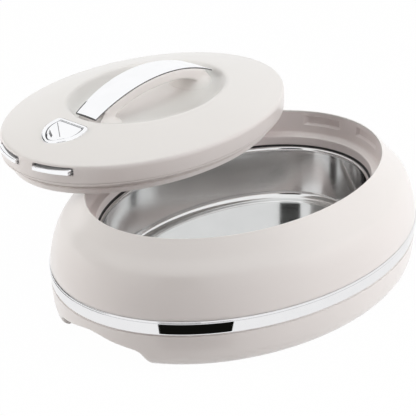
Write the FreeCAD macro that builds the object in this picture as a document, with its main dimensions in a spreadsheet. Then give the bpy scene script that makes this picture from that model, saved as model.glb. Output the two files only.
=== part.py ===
"""Oval insulated casserole: double-walled base, steel pot and lift-off snap lid.

Frame: millimetres, +Z up, +X along the oval's long axis.  The origin is on the
table, under the centre of the base.  The lid is built about the centre of its
edge plane (z = 0 there) and then placed where it rests, askew across the rim.
A drop is a distance down from the rim, an inset a distance in from the opening.
"""
import FreeCAD, Part
import os
import re

NAME = "Casserole"

# Driving sizes: word, millimetres (or degrees), what it is
SIZES = [
    ("opening_length", 300, "mouth of the base, long way"),
    ("opening_width", 208, "mouth of the base, short way"),
    ("rim_height", 104, "table to the crown of the rim"),
    ("belly_drop", 60, "rim to the widest line"),
    ("belly_swell", 32, "how far the belly stands out past the mouth"),
    ("skin_wall", 2.4, "outer casing wall"),
    ("foot_proud", 0.5, "pads below the bottom shell"),
    ("fit_gap", 0.2, "gap between nested fixed pieces"),
    ("run_gap", 0.3, "gap beside moving pieces"),
    ("thread_gap", 0.05, "between a screw and its bore"),
    ("turn_gap", 0.08, "between a pin and the part that turns on it"),
    ("band_drop", 58, "rim to the top of the chrome band"),
    ("band_height", 13, "chrome band"),
    ("band_proud", 0.8, "band past the belly"),
    ("band_sink", 1, "band let into the casing"),
    ("band_inset", 0.8, "how much the band narrows downwards"),
    ("arch_width", 112, "finger arch in each end, at the table"),
    ("arch_crown_width", 90, "finger arch where its flanks stop"),
    ("arch_flank", 15, "height of the arch flanks"),
    ("arch_height", 23, "height of the arch at its middle"),
    ("arch_reach", 36, "how deep the arch runs in from the belly"),
    ("collar_wall", 3.4, "inner collar wall"),
    ("collar_depth", 31, "rim to the foot of the collar"),
    ("ledge_drop", 22.6, "rim to the collar's ledge"),
    ("ledge_inset", 8.5, "step in at the ledge"),
    ("ledge_thick", 2.4, "ledge"),
    ("pocket_width", 33, "latch pocket"),
    ("pocket_drop", 4.5, "rim to the top of a latch pocket"),
    ("pocket_height", 9.5, "latch pocket"),
    ("pocket_depth", 2.4, "latch pocket"),
    ("seal_thick", 1.6, "seal under the collar"),
    ("seal_width", 2.8, "seal under the collar"),
    ("pot_depth", 50.3, "pot from flange to floor"),
    ("pot_wall", 0.9, "steel"),
    ("pot_inset", 12, "pot wall at the top"),
    ("pot_taper", 2.2, "how much the wall leans in"),
    ("pot_corner", 9, "radius between wall and floor"),
    ("rim_bead", 2.4, "radius of the rolled rim"),
    ("foam_gap", 1, "room around the foam"),
    ("pillar_radius", 3.6, "collar pillars"),
    ("pillar_reach", 95, "pillars from the middle, long way"),
    ("pillar_inset", 0.8, "pillar line in from the mouth"),
    ("boss_radius", 9, "screw bosses of the bottom shell"),
    ("boss_height", 8, "boss tops above the table"),
    ("pad_radius", 7, "rubber pads"),
    ("pad_thick", 2.5, "rubber pads"),
    ("screw_radius", 1.6, "casing screws"),
    ("screw_head", 3.2, "casing screw head radius"),
    ("screw_cap", 2.3, "casing screw head height"),
    ("screw_reach", 16, "casing screw shaft"),
    ("lid_gap", 1, "lid inside the mouth"),
    ("lid_wall", 2.4, "lid cover wall"),
    ("lid_step", 17.9, "edge plane to the step"),
    ("lip_depth", 11.8, "step to the lip's foot"),
    ("lip_gap", 1.2, "lip inside the collar"),
    ("liner_wall", 2, "lid liner wall"),
    ("liner_rim", 1.6, "liner flange and upstand"),
    ("edge_round", 2, "lid edge rounding, inwards"),
    ("edge_drop", 4.6, "lid edge rounding, downwards"),
    ("dome_rise", 19.5, "top of the dome above the edge plane"),
    ("well_length", 164, "hand well in the dome"),
    ("well_depth", 10.3, "hand well"),
    ("well_slope", 30, "how far the well's wall runs in"),
    ("lid_x", -2, "where the lid rests, long way"),
    ("lid_y", 109, "where the lid rests, short way"),
    ("lid_turn_angle", 2.75, "how far the lid is turned where it rests, degrees"),
    ("ring_height", 2, "lid seal"),
    ("ring_proud", 0.9, "lid seal past the lip"),
    ("ring_sink", 1, "lid seal in its groove"),
    ("ring_drop", 5, "step to the top of the lid seal"),
    ("grip_top", 32.4, "handle's crown above the edge plane"),
    ("grip_radius", 170, "curve of the handle's back"),
    ("grip_length", 168, "handle end to end"),
    ("grip_width", 31, "handle at its middle"),
    ("grip_end_width", 24, "handle at its ends"),
    ("grip_span", 124, "hand opening under the handle"),
    ("grip_clear", 21, "underside above the edge plane"),
    ("foot_reach", 61, "handle feet from the middle"),
    ("foot_length", 44, "handle foot at the well"),
    ("foot_width", 54, "handle foot at the well"),
    ("trim_length", 152, "chrome inlay"),
    ("trim_border", 0.7, "handle beside the inlay"),
    ("trim_thick", 1.2, "chrome inlay"),
    ("grip_screw", 2, "handle screw radius"),
    ("grip_screw_head", 3.6, "handle screw head radius"),
    ("grip_screw_reach", 11, "handle screw shaft"),
    ("grip_boss", 5, "boss radius under the well"),
    ("button_clear", 10.5, "end of the well to the button's straight edge"),
    ("button_length", 31, "button, edge to point"),
    ("button_width", 30, "button at its straight edge"),
    ("button_thick", 3, "button plate"),
    ("button_proud", 0.7, "button above the dome's chord"),
    ("button_gap", 0.7, "between button and bezel"),
    ("bezel_width", 2.4, "bezel"),
    ("bezel_height", 5.6, "bezel, from its flange to its top"),
    ("bezel_flange", 1.6, "bezel flange under the cover"),
    ("bezel_lip", 1, "thickness of the bezel flange"),
    ("hinge_reach", 27, "button's hinge pin from the straight edge"),
    ("hinge_sink", 4.6, "pin below the dome's chord"),
    ("hinge_pin", 1.2, "pin radius"),
    ("lug_width", 4, "button's hinge lug"),
    ("ear_width", 2.4, "bezel's hinge ears"),
    ("leg_reach", 7.5, "button's leg from the straight edge"),
    ("leg_length", 9.9, "button's leg"),
    ("leg_width", 8, "button's leg"),
    ("tongue_width", 31, "latch tongue"),
    ("tongue_offset", 25.5, "tongue from the long axis"),
    ("tongue_reach", 1.8, "tongue past the mouth"),
    ("latch_top", 3.2, "edge plane to the top of the latches"),
    ("latch_thick", 4.6, "latches"),
    ("ramp_foot", 9.5, "foot of the ramp from the button's straight edge"),
    ("ramp_top", 1.1, "top of the ramp from the button's straight edge"),
    ("ramp_rise", 5.5, "ramp above the latch"),
    ("ramp_width", 14, "ramp and its shelf"),
    ("slot_play", 1.2, "slot above and below a tongue"),
    ("slot_side", 2, "slot beside a tongue"),
    ("bar_outer", 128, "latch bar's outer edge from the middle"),
    ("bar_inner", 112, "latch bar's inner edge from the middle"),
    ("bar_width", 86, "latch bar"),
    ("link_thick", 2.2, "link arms"),
    ("link_width", 10, "link arms"),
    ("rocker_arm", 14, "rocker pivot to link pin"),
    ("link_pin", 2, "link pin radius"),
    ("pivot_pin", 2.5, "rocker pivot radius"),
    ("pivot_head", 4.2, "rocker pivot head radius"),
    ("pivot_cap", 1.8, "rocker pivot head"),
    ("rocker_thick", 2.1, "rocker plate"),
    ("rocker_hub", 7, "rocker hub radius"),
    ("rocker_width", 8, "rocker beam"),
    ("rocker_reach", 18, "rocker beam from the pivot"),
    ("deck_thick", 2, "plate that carries the latches"),
    ("deck_border", 0.7, "plate past its side rails"),
    ("lug_thick", 3, "spring lugs of the deck"),
    ("rail_width", 3, "side rails of the deck"),
    ("rail_length", 16, "side rails of the deck"),
    ("rail_middle", 116, "rails from the middle"),
    ("rail_gap", 0.3, "rail beside a latch"),
    ("keeper_thick", 1.2, "keeper over each latch"),
    ("keeper_length", 7, "keeper over each latch"),
    ("keeper_middle", 118.5, "keepers from the middle"),
    ("post_x", 85, "deck posts from the middle, long way"),
    ("post_y", 38, "deck posts from the middle, short way"),
    ("post_radius", 4, "deck posts"),
    ("deck_screw", 1.5, "deck screw radius"),
    ("deck_screw_head", 3, "deck screw head radius"),
    ("deck_screw_cap", 2.2, "deck screw head"),
    ("deck_screw_reach", 8, "deck screw shaft"),
    ("coil_wire", 0.3, "spring wire radius"),
    ("coil_radius", 1.6, "spring coil, to the wire's middle"),
    ("coil_pitch", 2, "spring pitch"),
    ("spring_inset", 13, "latch spring from the end of its bar"),
    ("spring_length", 14.6, "latch spring at rest"),
    ("button_spring_reach", 12, "button spring from the button's straight edge"),
    ("button_spring_y", 10.5, "button spring from the long axis"),
    ("button_spring_length", 14.9, "button spring at rest"),
]

# Outline of the outer skin: share of the drop, share of the swell
SHOULDER = [(0, 0.04), (0.07, 0.14), (0.2, 0.36), (0.4, 0.71), (0.63, 0.89), (0.85, 0.98), (1, 1)]
SKIRT = [(0.2, 0.995), (0.52, 0.97), (0.7, 0.94), (0.85, 0.87), (0.94, 0.77), (1, 0.65)]
# Outline of the dome: share of its radius, from the edge to inside the well
DOME = [0.985, 0.94, 0.87, 0.78, 0.68, 0.58, 0.48, 0.4]
# Outline of the hand well: share of the slope run in, share of the depth gone down
WELL = [(-0.12, -0.6), (0, 0), (0.13, 0.43), (0.37, 0.77), (0.67, 0.94), (1, 1)]
# Quarter round between the pot's wall and floor: share in, share up
CORNER = [(0, 1), (0.134, 0.5), (0.5, 0.134), (0.76, 0.03), (1, 0)]
# Round of the pot's rim: share out, share up
ROLL = [(0.1, -0.995), (0.5, -0.866), (0.87, -0.5), (1, 0), (0.87, 0.5), (0.5, 0.866), (0.1, 0.995)]
# Directions along an axis: both ends and both sides
BOTH = (-1, 1)

doc = FreeCAD.newDocument(NAME)
sheet = doc.addObject("Spreadsheet::Sheet", "Sizes")
for row, (word, value, meaning) in enumerate(SIZES, start=1):
    sheet.set(f"A{row}", word)
    sheet.set(f"B{row}", str(value))
    sheet.set(f"C{row}", meaning)
    sheet.setAlias(f"B{row}", word)
doc.recompute()
VALUE = {word: value for word, value, meaning in SIZES}


# ---------------------------------------------------------------- helpers

def formula(text):
    """Turns the sheet's words in a formula into references to its cells."""
    return re.sub("[a-z_]+", lambda found: f"Sizes.{found[0]}" if found[0] in VALUE else found[0],
                  text)


def bind(thing, **places):
    """Binds properties to formulas; x, y, z and turn stand for the placement."""
    paths = {"x": "Placement.Base.x", "y": "Placement.Base.y", "z": "Placement.Base.z",
             "turn": "Placement.Rotation.Angle"}
    for key, text in places.items():
        thing.setExpression(paths.get(key, key), formula(str(text)))
    return thing


def new(kind, label):
    """A new object of the document with its own label, its faces left as they are."""
    thing = doc.addObject(kind, label)
    thing.Label = label
    if hasattr(thing, "Refine"):
        thing.Refine = False
    return thing


def ring(label, half_length, half_width, height):
    """A level ellipse."""
    return bind(new("Part::Ellipse", label), MajorRadius=half_length, MinorRadius=half_width,
                z=height)


def loft(label, stations):
    """A solid through level ellipses, lowest first: half length, half width, height."""
    rings = [ring(f"{label}_ring{i}", *station) for i, station in enumerate(stations)]
    solid = new("Part::Loft", label)
    solid.Sections = rings
    solid.Solid = True
    solid.Ruled = True
    return solid


def oval(outset, height):
    """The mouth's ellipse grown by an outset, as a station of a loft."""
    return f"opening_length/2 + ({outset})", f"opening_width/2 + ({outset})", height


def prism(label, outset, low, high):
    """An upright oval block from one height to another."""
    return loft(label, [oval(outset, low), oval(outset, high)])


def below_rim(drop):
    """Height of a drop below the rim."""
    return f"rim_height - ({drop})"


def block(label, centre_x, centre_y, low, length, width, height):
    """A box centred in plan, standing on a height."""
    return bind(new("Part::Box", label), Length=length, Width=width, Height=height,
                x=f"({centre_x}) - ({length})/2", y=f"({centre_y}) - ({width})/2", z=low)


def rod(label, radius, centre_x, centre_y, low, height):
    """An upright cylinder."""
    return bind(new("Part::Cylinder", label), Radius=radius, Height=height,
                x=centre_x, y=centre_y, z=low)


def cross_rod(label, radius, centre_x, centre_z, width):
    """A cylinder lying across, along Y and centred on the long axis."""
    thing = bind(new("Part::Cylinder", label), Radius=radius, Height=width)
    thing.Placement.Rotation = FreeCAD.Rotation(FreeCAD.Vector(1, 0, 0), -90)
    return bind(thing, x=centre_x, y=f"-({width})/2", z=centre_z)


def cut(label, base, *tools):
    """The base less every tool, one after another."""
    for step, tool in enumerate(tools, start=1):
        thing = new("Part::Cut", label if step == len(tools) else f"{label}_cut{step}")
        thing.Base = base
        thing.Tool = tool
        base = thing
    return base


def fuse(label, *things):
    """All the things as one."""
    thing = new("Part::MultiFuse", label)
    thing.Shapes = list(things)
    return thing


def common(label, *things):
    """What all the things share."""
    thing = new("Part::MultiCommon", label)
    thing.Shapes = list(things)
    return thing


def group(label, *things):
    """Separate solids kept in one node."""
    thing = new("Part::Compound", label)
    thing.Links = list(things)
    return thing


def corners(reach_x, reach_y):
    """The four places at plus and minus two reaches, each with a short name."""
    return [(f"{end}{side}".replace("-1", "n").replace("1", "p"), f"{end}*({reach_x})",
             f"{side}*({reach_y})") for end in BOTH for side in BOTH]


NODES = []


def node(thing):
    """Notes a piece of the base for export."""
    NODES.append(thing)
    return thing


LID_Z = "rim_height + run_gap + lid_step + lip_depth"


def lid_node(thing, lift="0"):
    """Notes a piece of the lid, turned and set where the lid rests."""
    thing.Placement.Rotation = FreeCAD.Rotation(FreeCAD.Vector(0, 0, 1), 1)
    return node(bind(thing, turn="lid_turn_angle", x="lid_x", y="lid_y",
                     z=f"{LID_Z} + {lift}"))


# ---------------------------------------------------------------- base: skins

def skin(label, inset):
    """The outer skin's solid, shrunk by an inset that also lifts its floor."""
    stations = []
    for share, swell in SHOULDER:
        drop = f"belly_drop*{share} + ({inset})*0.5*{1 - share}"
        stations.append(oval(f"belly_swell*{swell} - ({inset})", below_rim(drop)))
    for share, swell in SKIRT:
        low = f"foot_proud + (rim_height - foot_proud - belly_drop)*{round(1 - share, 3)}"
        stations.append(oval(f"belly_swell*{swell} - ({inset})", f"{low} + ({inset})*{share}"))
    return loft(label, stations[::-1])


ROOM_LENGTH = "opening_length + 4*belly_swell"
ROOM_WIDTH = "opening_width + 4*belly_swell"
JOINT = "rim_height - band_drop - band_height/2"


def arches(label, grow):
    """The finger arches under both ends: a slot with a low round crown, grown by a wall."""
    rise = "(arch_height - arch_flank)"
    crown = f"(((arch_crown_width/2)^2 + {rise}^2)/(2*{rise}))"
    deep = f"2*(arch_reach + ({grow}))"
    parts = []
    for side, end in (("left", -1), ("right", 1)):
        middle = f"{end}*(opening_length/2 + belly_swell)"
        slot = block(f"{label}_{side}_slot", middle, 0, "-foot_proud", deep,
                     f"arch_width + 2*({grow})", f"2*arch_height + ({grow})")
        drum = bind(new("Part::Cylinder", f"{label}_{side}_drum"),
                    Radius=f"{crown} + ({grow})", Height=deep)
        drum.Placement.Rotation = FreeCAD.Rotation(FreeCAD.Vector(0, 1, 0), 90)
        bind(drum, x=f"{middle} - ({deep})/2", z=f"arch_height - {crown}")
        parts.append(common(f"{label}_{side}", slot, drum))
    return parts


skin_outer = skin("skin_outer", "0")
skin_inner = skin("skin_inner", "skin_wall")
upper_half = block("upper_half", 0, 0, JOINT, ROOM_LENGTH, ROOM_WIDTH, "rim_height")
lower_half = block("lower_half", 0, 0, f"{JOINT} - rim_height", ROOM_LENGTH, ROOM_WIDTH,
                   "rim_height")
BAND_TOP = below_rim("band_drop")
BAND_FOOT = below_rim("band_drop + band_height")


def band_seat(label):
    """The groove round the belly that takes the chrome band."""
    outside = prism(f"{label}_outside", "2*belly_swell", BAND_FOOT, BAND_TOP)
    inside = prism(f"{label}_inside", "belly_swell - band_sink", BAND_FOOT, BAND_TOP)
    return cut(label, outside, inside)


# ---------------------------------------------------------------- base: pieces

def make_outer_casing():
    """The upper shell, from the collar's crown down to the joint behind the band."""
    shell = common("casing_block", skin_outer, upper_half)
    throat = prism("casing_throat", "collar_wall + fit_gap", below_rim("ledge_drop"),
                   "rim_height + ledge_drop")
    node(cut("outer_casing", shell, skin_inner, throat, band_seat("casing_groove")))


PILLARS = corners("pillar_reach", "(opening_width/2 - pillar_inset)*sqrt(1 - "
                  "(pillar_reach/(opening_length/2 - pillar_inset))^2)")


PADS = PILLARS + [("middle", "0", "0")]


def make_bottom_shell():
    """The lower shell with its finger arches, pad seats and screw bosses."""
    shell = common("bottom_block", skin_outer, lower_half)
    hollow = cut("bottom_hollow", skin_inner, *arches("arch_wall", "skin_wall"))
    bosses, holes = [], []
    for name, x, y in PADS:
        bosses.append(rod(f"bottom_boss_{name}", "boss_radius", x, y, "foot_proud",
                          "boss_height - foot_proud"))
        holes.append(rod(f"pad_seat_{name}", "pad_radius + fit_gap", x, y, "-foot_proud",
                         "pad_thick + foot_proud"))
    for name, x, y in PILLARS:
        holes.append(rod(f"head_seat_{name}", "screw_head + fit_gap", x, y, "0",
                         "pad_thick + screw_cap + fit_gap"))
        holes.append(rod(f"shaft_hole_{name}", "screw_radius + fit_gap", x, y, "0",
                         "2*boss_height"))
    walls = cut("bottom_walls", shell, hollow, *arches("arch", "0"))
    bossed = fuse("bottom_bossed", walls, *bosses)
    node(cut("bottom_shell", bossed, band_seat("bottom_groove"), *holes))


def make_band():
    """The chrome band, with a softened edge above and below."""
    outer = "belly_swell + band_proud"
    edge = "band_proud/2"
    outside = loft("band_outside", [
        oval(f"{outer} - band_inset - {edge}", BAND_FOOT),
        oval(f"{outer} - band_inset", f"{BAND_FOOT} + {edge}"),
        oval(outer, f"{BAND_TOP} - {edge}"),
        oval(f"{outer} - {edge}", BAND_TOP)])
    inside = prism("band_inside", "belly_swell - band_sink + fit_gap/2", f"{BAND_FOOT} - 1",
                   f"{BAND_TOP} + 1")
    node(cut("chrome_band", outside, inside))


COLLAR_FOOT = below_rim("collar_depth")
LEDGE = below_rim("ledge_drop")


def make_collar():
    """The ring that the lid drops into: crown, ledge and four latch pockets."""
    upper = prism("collar_upper", "collar_wall", f"{LEDGE} - ledge_thick", "rim_height")
    lower = prism("collar_lower", "collar_wall - ledge_inset", COLLAR_FOOT, LEDGE)
    mouth = prism("collar_mouth", "0", LEDGE, "rim_height + 1")
    throat = prism("collar_throat", "-ledge_inset", f"{COLLAR_FOOT} - 1", "rim_height + 1")
    band = common("collar_crown", fuse("collar_block", upper, lower), skin_outer)
    boxes = []
    for name, x, y in corners("opening_length/2", "tongue_offset"):
        boxes.append(block(f"pocket_{name}", x, y, below_rim("pocket_drop + pocket_height"),
                           "opening_length/4", "pocket_width", "pocket_height"))
    reach = prism("pocket_reach", "pocket_depth", LEDGE, "rim_height")
    pockets = common("pockets", fuse("pocket_boxes", *boxes), reach)
    node(cut("inner_collar", band, mouth, throat, pockets))


FLANGE = below_rim("collar_depth + seal_thick")
FLANGE_OUTSET = "collar_wall - ledge_inset"


def pot_stack(label, inset, top):
    """The pot's bowl, shrunk by an inset: a leaning wall, a round corner, a flat floor."""
    floor = f"({FLANGE} - pot_depth + ({inset}))"
    corner = f"(pot_corner - ({inset}))"
    stations = [oval(f"-pot_inset - ({inset})", top),
                oval(f"-pot_inset - pot_taper/2 - ({inset})", f"(({top}) + {floor} + {corner})/2")]
    for inward, upward in CORNER:
        stations.append(oval(f"-pot_inset - pot_taper - ({inset}) - {corner}*{inward}",
                             f"{floor} + {corner}*{upward}"))
    return loft(label, stations[::-1])


def make_pot():
    """The pressed steel pot: bowl, rolled rim and clamping flange."""
    bowl = cut("pot_bowl",
               pot_stack("pot_outside", "0", f"{FLANGE} - rim_bead/2"),
               pot_stack("pot_inside", "pot_wall", f"{FLANGE} + rim_bead"))
    inset = "pot_inset - rim_bead/2"
    middle = f"{FLANGE} - rim_bead*3/4"
    roll = loft("pot_roll", [oval(f"-({inset}) + rim_bead*{out}", f"{middle} + rim_bead*{up}")
                             for out, up in ROLL])
    rim = cut("pot_rim", roll, prism("rim_room", "-pot_inset - pot_wall", f"{FLANGE} - 9",
                                     f"{FLANGE} + 9"))
    flange = cut("pot_flange",
                 prism("flange_outside", FLANGE_OUTSET, f"{FLANGE} - pot_wall", FLANGE),
                 prism("flange_inside", f"-({inset})", f"{FLANGE} - 2", f"{FLANGE} + 1"))
    node(fuse("steel_pot", bowl, rim, flange))


def make_pot_seal():
    """The black ring pinched between the collar's foot and the pot's flange."""
    outset = f"{FLANGE_OUTSET} - fit_gap"
    outside = prism("pot_seal_outside", outset, FLANGE, COLLAR_FOOT)
    inside = prism("pot_seal_inside", f"{outset} - seal_width", f"{FLANGE} - 1",
                   f"{COLLAR_FOOT} + 1")
    node(cut("pot_seal", outside, inside))


def make_base_foam():
    """The foam that fills the space between the pot and the casing."""
    top = f"{LEDGE} - ledge_thick - foam_gap"
    slab = block("foam_slab", 0, 0, "boss_height + fit_gap", ROOM_LENGTH, ROOM_WIDTH,
                 f"{top} - boss_height - fit_gap")
    outside = common("foam_outside", skin("foam_skin", "skin_wall + foam_gap"), slab)
    collar = prism("foam_collar", f"{FLANGE_OUTSET} + foam_gap", f"{FLANGE} - 4*rim_bead",
                   "rim_height")
    bowl = pot_stack("foam_bowl", "-foam_gap", LEDGE)
    holes = [rod(f"foam_hole_{name}", "pillar_radius + foam_gap/2", x, y, "0", "rim_height")
             for name, x, y in PILLARS]
    node(cut("casing_insulation", outside, collar, bowl, *arches("foam_arch",
             "skin_wall + foam_gap"), *holes))


def make_fasteners():
    """Pillars under the collar, screws up into them, and the pads below."""
    pillars, screws, pads = [], [], []
    top = f"{LEDGE} - ledge_thick"
    for name, x, y in PILLARS:
        post = rod(f"pillar_{name}_post", "pillar_radius", x, y, "boss_height",
                   f"{top} - boss_height")
        bore = rod(f"pillar_{name}_bore", "screw_radius + thread_gap", x, y, "0",
                   "pad_thick + screw_cap + screw_reach + run_gap")
        pillars.append(cut(f"pillar_{name}", post, bore))
        head = rod(f"screw_{name}_head", "screw_head", x, y, "pad_thick", "screw_cap")
        shaft = rod(f"screw_{name}_shaft", "screw_radius", x, y, "pad_thick",
                    "screw_cap + screw_reach")
        screws.append(fuse(f"screw_{name}", head, shaft))
    for name, x, y in PADS:
        pads.append(rod(f"pad_{name}", "pad_radius", x, y, "0", "pad_thick"))
    node(group("collar_pillars", *pillars))
    node(group("bottom_screws", *screws))
    node(group("foot_pads", *pads))


# ---------------------------------------------------------------- lid: shells

STEP = "-lid_step"
LIP_FOOT = "-lid_step - lip_depth"
LIP = "-ledge_inset - lip_gap"
DOME_X = "(opening_length/2 - lid_gap - edge_round)"
DOME_Y = "(opening_width/2 - lid_gap - edge_round)"
RIM_SHARE = f"(well_length/2/{DOME_X})"


def dome_height(x):
    """Height of the dome on the long axis."""
    return f"(dome_rise*(1 - (({x})/{DOME_X})^2))"


def dome(label, wall, foot):
    """The lid's outer form, shrunk by a wall: side, round edge, dome."""
    side = f"-lid_gap - ({wall})"
    stations = [oval(side, foot), oval(side, "-edge_drop")]
    for bend, rise in ((0.09, 0.42), (0.36, 0.77), (0.66, 0.94)):
        stations.append(oval(f"{side} - edge_round*{bend}",
                             f"-edge_drop*{round(1 - rise, 2)} - ({wall})*{rise}"))
    for share in DOME:
        height = f"dome_rise*{round(1 - share ** 2, 4)} - ({wall})"
        stations.append((f"{DOME_X}*{share} - ({wall})/2", f"{DOME_Y}*{share} - ({wall})/2",
                         height))
    return loft(label, stations)


def well(label, wall):
    """The oval hand well sunk into the dome, grown by a wall."""
    stations = []
    for share, sunk in WELL:
        inset = f"well_slope*{share} - ({wall})"
        stations.append((f"well_length/2 - ({inset})", f"{DOME_Y}*{RIM_SHARE} - ({inset})",
                         f"{dome_height('well_length/2')} - well_depth*{sunk} - ({wall})"))
    return loft(label, stations[::-1])


dome_outer = dome("dome_outer", "0", f"{STEP} + liner_rim")
well_cut = well("well_cut", "0")
cover_form = cut("cover_form", dome_outer, well_cut)
BUTTON_X = "(well_length/2 + button_clear)"
BUTTON_TIP = f"({BUTTON_X} + button_length)"
TILT_RISE = f"({dome_height(BUTTON_X)} - {dome_height(BUTTON_TIP)})"
TILT = f"atan({TILT_RISE}/button_length)"


def tilted(thing):
    """Sets a piece that is built level at the button onto the dome's slope."""
    thing.Placement.Rotation = FreeCAD.Rotation(FreeCAD.Vector(0, -1, 0), 1)
    return bind(thing, turn=TILT, x=f"-{BUTTON_X}", z=dome_height(BUTTON_X))


def shield(label, grow, low, high):
    """A shield: a straight edge at x = 0, two arcs that meet in a point at -X."""
    half = "(button_width/2)"
    radius = f"((button_length^2 + {half}^2)/(2*{half}))"
    sides = []
    for side in BOTH:
        sides.append(rod(f"{label}_side{'n' if side < 0 else 'p'}", f"{radius} + ({grow})", 0,
                         f"{side}*({radius} - {half})", low, f"({high}) - ({low})"))
    length = f"button_length + 2*({grow}) + 10"
    slab = block(f"{label}_slab", f"({grow}) - ({length})/2", 0, low, length,
                 "2*button_width", f"({high}) - ({low})")
    return common(label, *sides, slab)


POSTS = corners("post_x", "post_y")
GRIP_SCREWS = [("left", "-foot_reach"), ("right", "foot_reach")]
GRIP_BOSS_FOOT = f"({dome_height('well_length/2')} - well_depth - lid_wall - 1)"
LATCH_FOOT = "(-latch_top - latch_thick)"
DECK_TOP = f"({LATCH_FOOT} - run_gap)"
DECK_FOOT = f"({DECK_TOP} - deck_thick)"


def make_cover():
    """The domed lid shell: hand well, latch slots, button hole, bosses and posts."""
    hollow = cut("cover_hollow", dome("dome_inner", "lid_wall", f"{STEP} - 1"),
                 well("well_wall", "lid_wall"))
    bosses = [rod(f"grip_boss_{name}", "grip_boss", x, 0, GRIP_BOSS_FOOT, "lid_wall + 1")
              for name, x in GRIP_SCREWS]
    posts = [rod(f"post_{name}", "post_radius", x, y, DECK_TOP,
                 f"{dome_height('sqrt(post_x^2 + (post_y*1.45)^2)')} - lid_wall/2 - {DECK_TOP}")
             for name, x, y in POSTS]
    solid = fuse("cover_solid", cut("cover_shell", cover_form, hollow), *bosses, *posts)
    cuts = []
    for name, x, y in corners("opening_length/2", "tongue_offset"):
        cuts.append(block(f"slot_{name}", x, y, f"{LATCH_FOOT} - slot_play",
                          "opening_length/5", "tongue_width + 2*slot_side",
                          "latch_thick + 2*slot_play"))
    for name, x in GRIP_SCREWS:
        cuts.append(rod(f"grip_hole_{name}", "grip_screw + fit_gap", x, 0,
                        f"{GRIP_BOSS_FOOT} - 1", "2*lid_wall + 4"))
    for name, x, y in POSTS:
        cuts.append(rod(f"post_bore_{name}", "deck_screw + thread_gap", x, y,
                        f"{DECK_TOP} - deck_thick", "deck_screw_reach + run_gap"))
    hole = tilted(shield("button_hole", "button_gap + bezel_width + fit_gap",
                         "-3*bezel_height", "2*bezel_height"))
    node_cover = cut("lid_cover", solid, *cuts, hole)
    lid_node(node_cover)


RING_FOOT = "(-lid_step - ring_drop - ring_height)"
RING_TOP = "(-lid_step - ring_drop)"


def make_liner():
    """The tray that closes the lid below: flange, lip and flat foot."""
    parts = [prism("liner_lip", LIP, LIP_FOOT, f"{STEP} + liner_rim"),
             prism("liner_flange", "-lid_gap - fit_gap", STEP, f"{STEP} + liner_rim"),
             prism("liner_upstand", "-lid_gap - lid_wall - fit_gap", STEP,
                   f"{STEP} + 3*liner_rim")]
    tray = prism("liner_tray", f"{LIP} - liner_wall", f"{LIP_FOOT} + liner_wall", "0")
    mouth = prism("liner_mouth", "-lid_gap - lid_wall - fit_gap - liner_rim",
                  f"{STEP} + liner_rim", "0")
    groove = cut("seal_groove", prism("groove_outside", "0", RING_FOOT, RING_TOP),
                 prism("groove_inside", f"{LIP} - ring_sink", f"{RING_FOOT} - 1",
                       f"{RING_TOP} + 1"))
    lid_node(cut("lid_liner", fuse("liner_block", *parts), tray, mouth, groove))


def make_lid_seal():
    """The soft ring round the lip."""
    outside = loft("seal_outside", [
        oval(f"{LIP} + ring_proud/3", RING_FOOT),
        oval(f"{LIP} + ring_proud", f"{RING_FOOT} + ring_height*0.35"),
        oval(f"{LIP} + ring_proud", f"{RING_FOOT} + ring_height*0.65"),
        oval(f"{LIP} + ring_proud/3", RING_TOP)])
    inside = prism("seal_inside", f"{LIP} - ring_sink", f"{RING_FOOT} - 1", f"{RING_TOP} + 1")
    lid_node(cut("lid_seal", outside, inside))


def make_lid_foam():
    """The foam slab in the liner's tray."""
    top = f"{DECK_FOOT} - deck_screw_cap - foam_gap"
    lid_node(prism("lid_insulation", f"{LIP} - liner_wall - foam_gap/2",
                   f"{LIP_FOOT} + liner_wall + foam_gap/2", top))


# ---------------------------------------------------------------- lid: handle

def lens(label, width, end_width, length, low, high):
    """A strip that is wider in its middle: two big arcs, cut off square."""
    bow = f"((({width}) - ({end_width}))/2)"
    radius = f"((({length})/2)^2 + {bow}^2)/(2*{bow})"
    sides = [rod(f"{label}_side{'n' if side < 0 else 'p'}", radius, 0,
                 f"{side}*({radius} - ({width})/2)", low, f"({high}) - ({low})")
             for side in BOTH]
    slab = block(f"{label}_slab", 0, 0, low, length, width, f"({high}) - ({low})")
    return common(label, *sides, slab)


def back(label, sunk):
    """The big cylinder whose top is the handle's back, sunk by a depth."""
    return cross_rod(label, f"grip_radius - ({sunk})", 0, "grip_top - grip_radius",
                     "2*grip_width")


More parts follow.
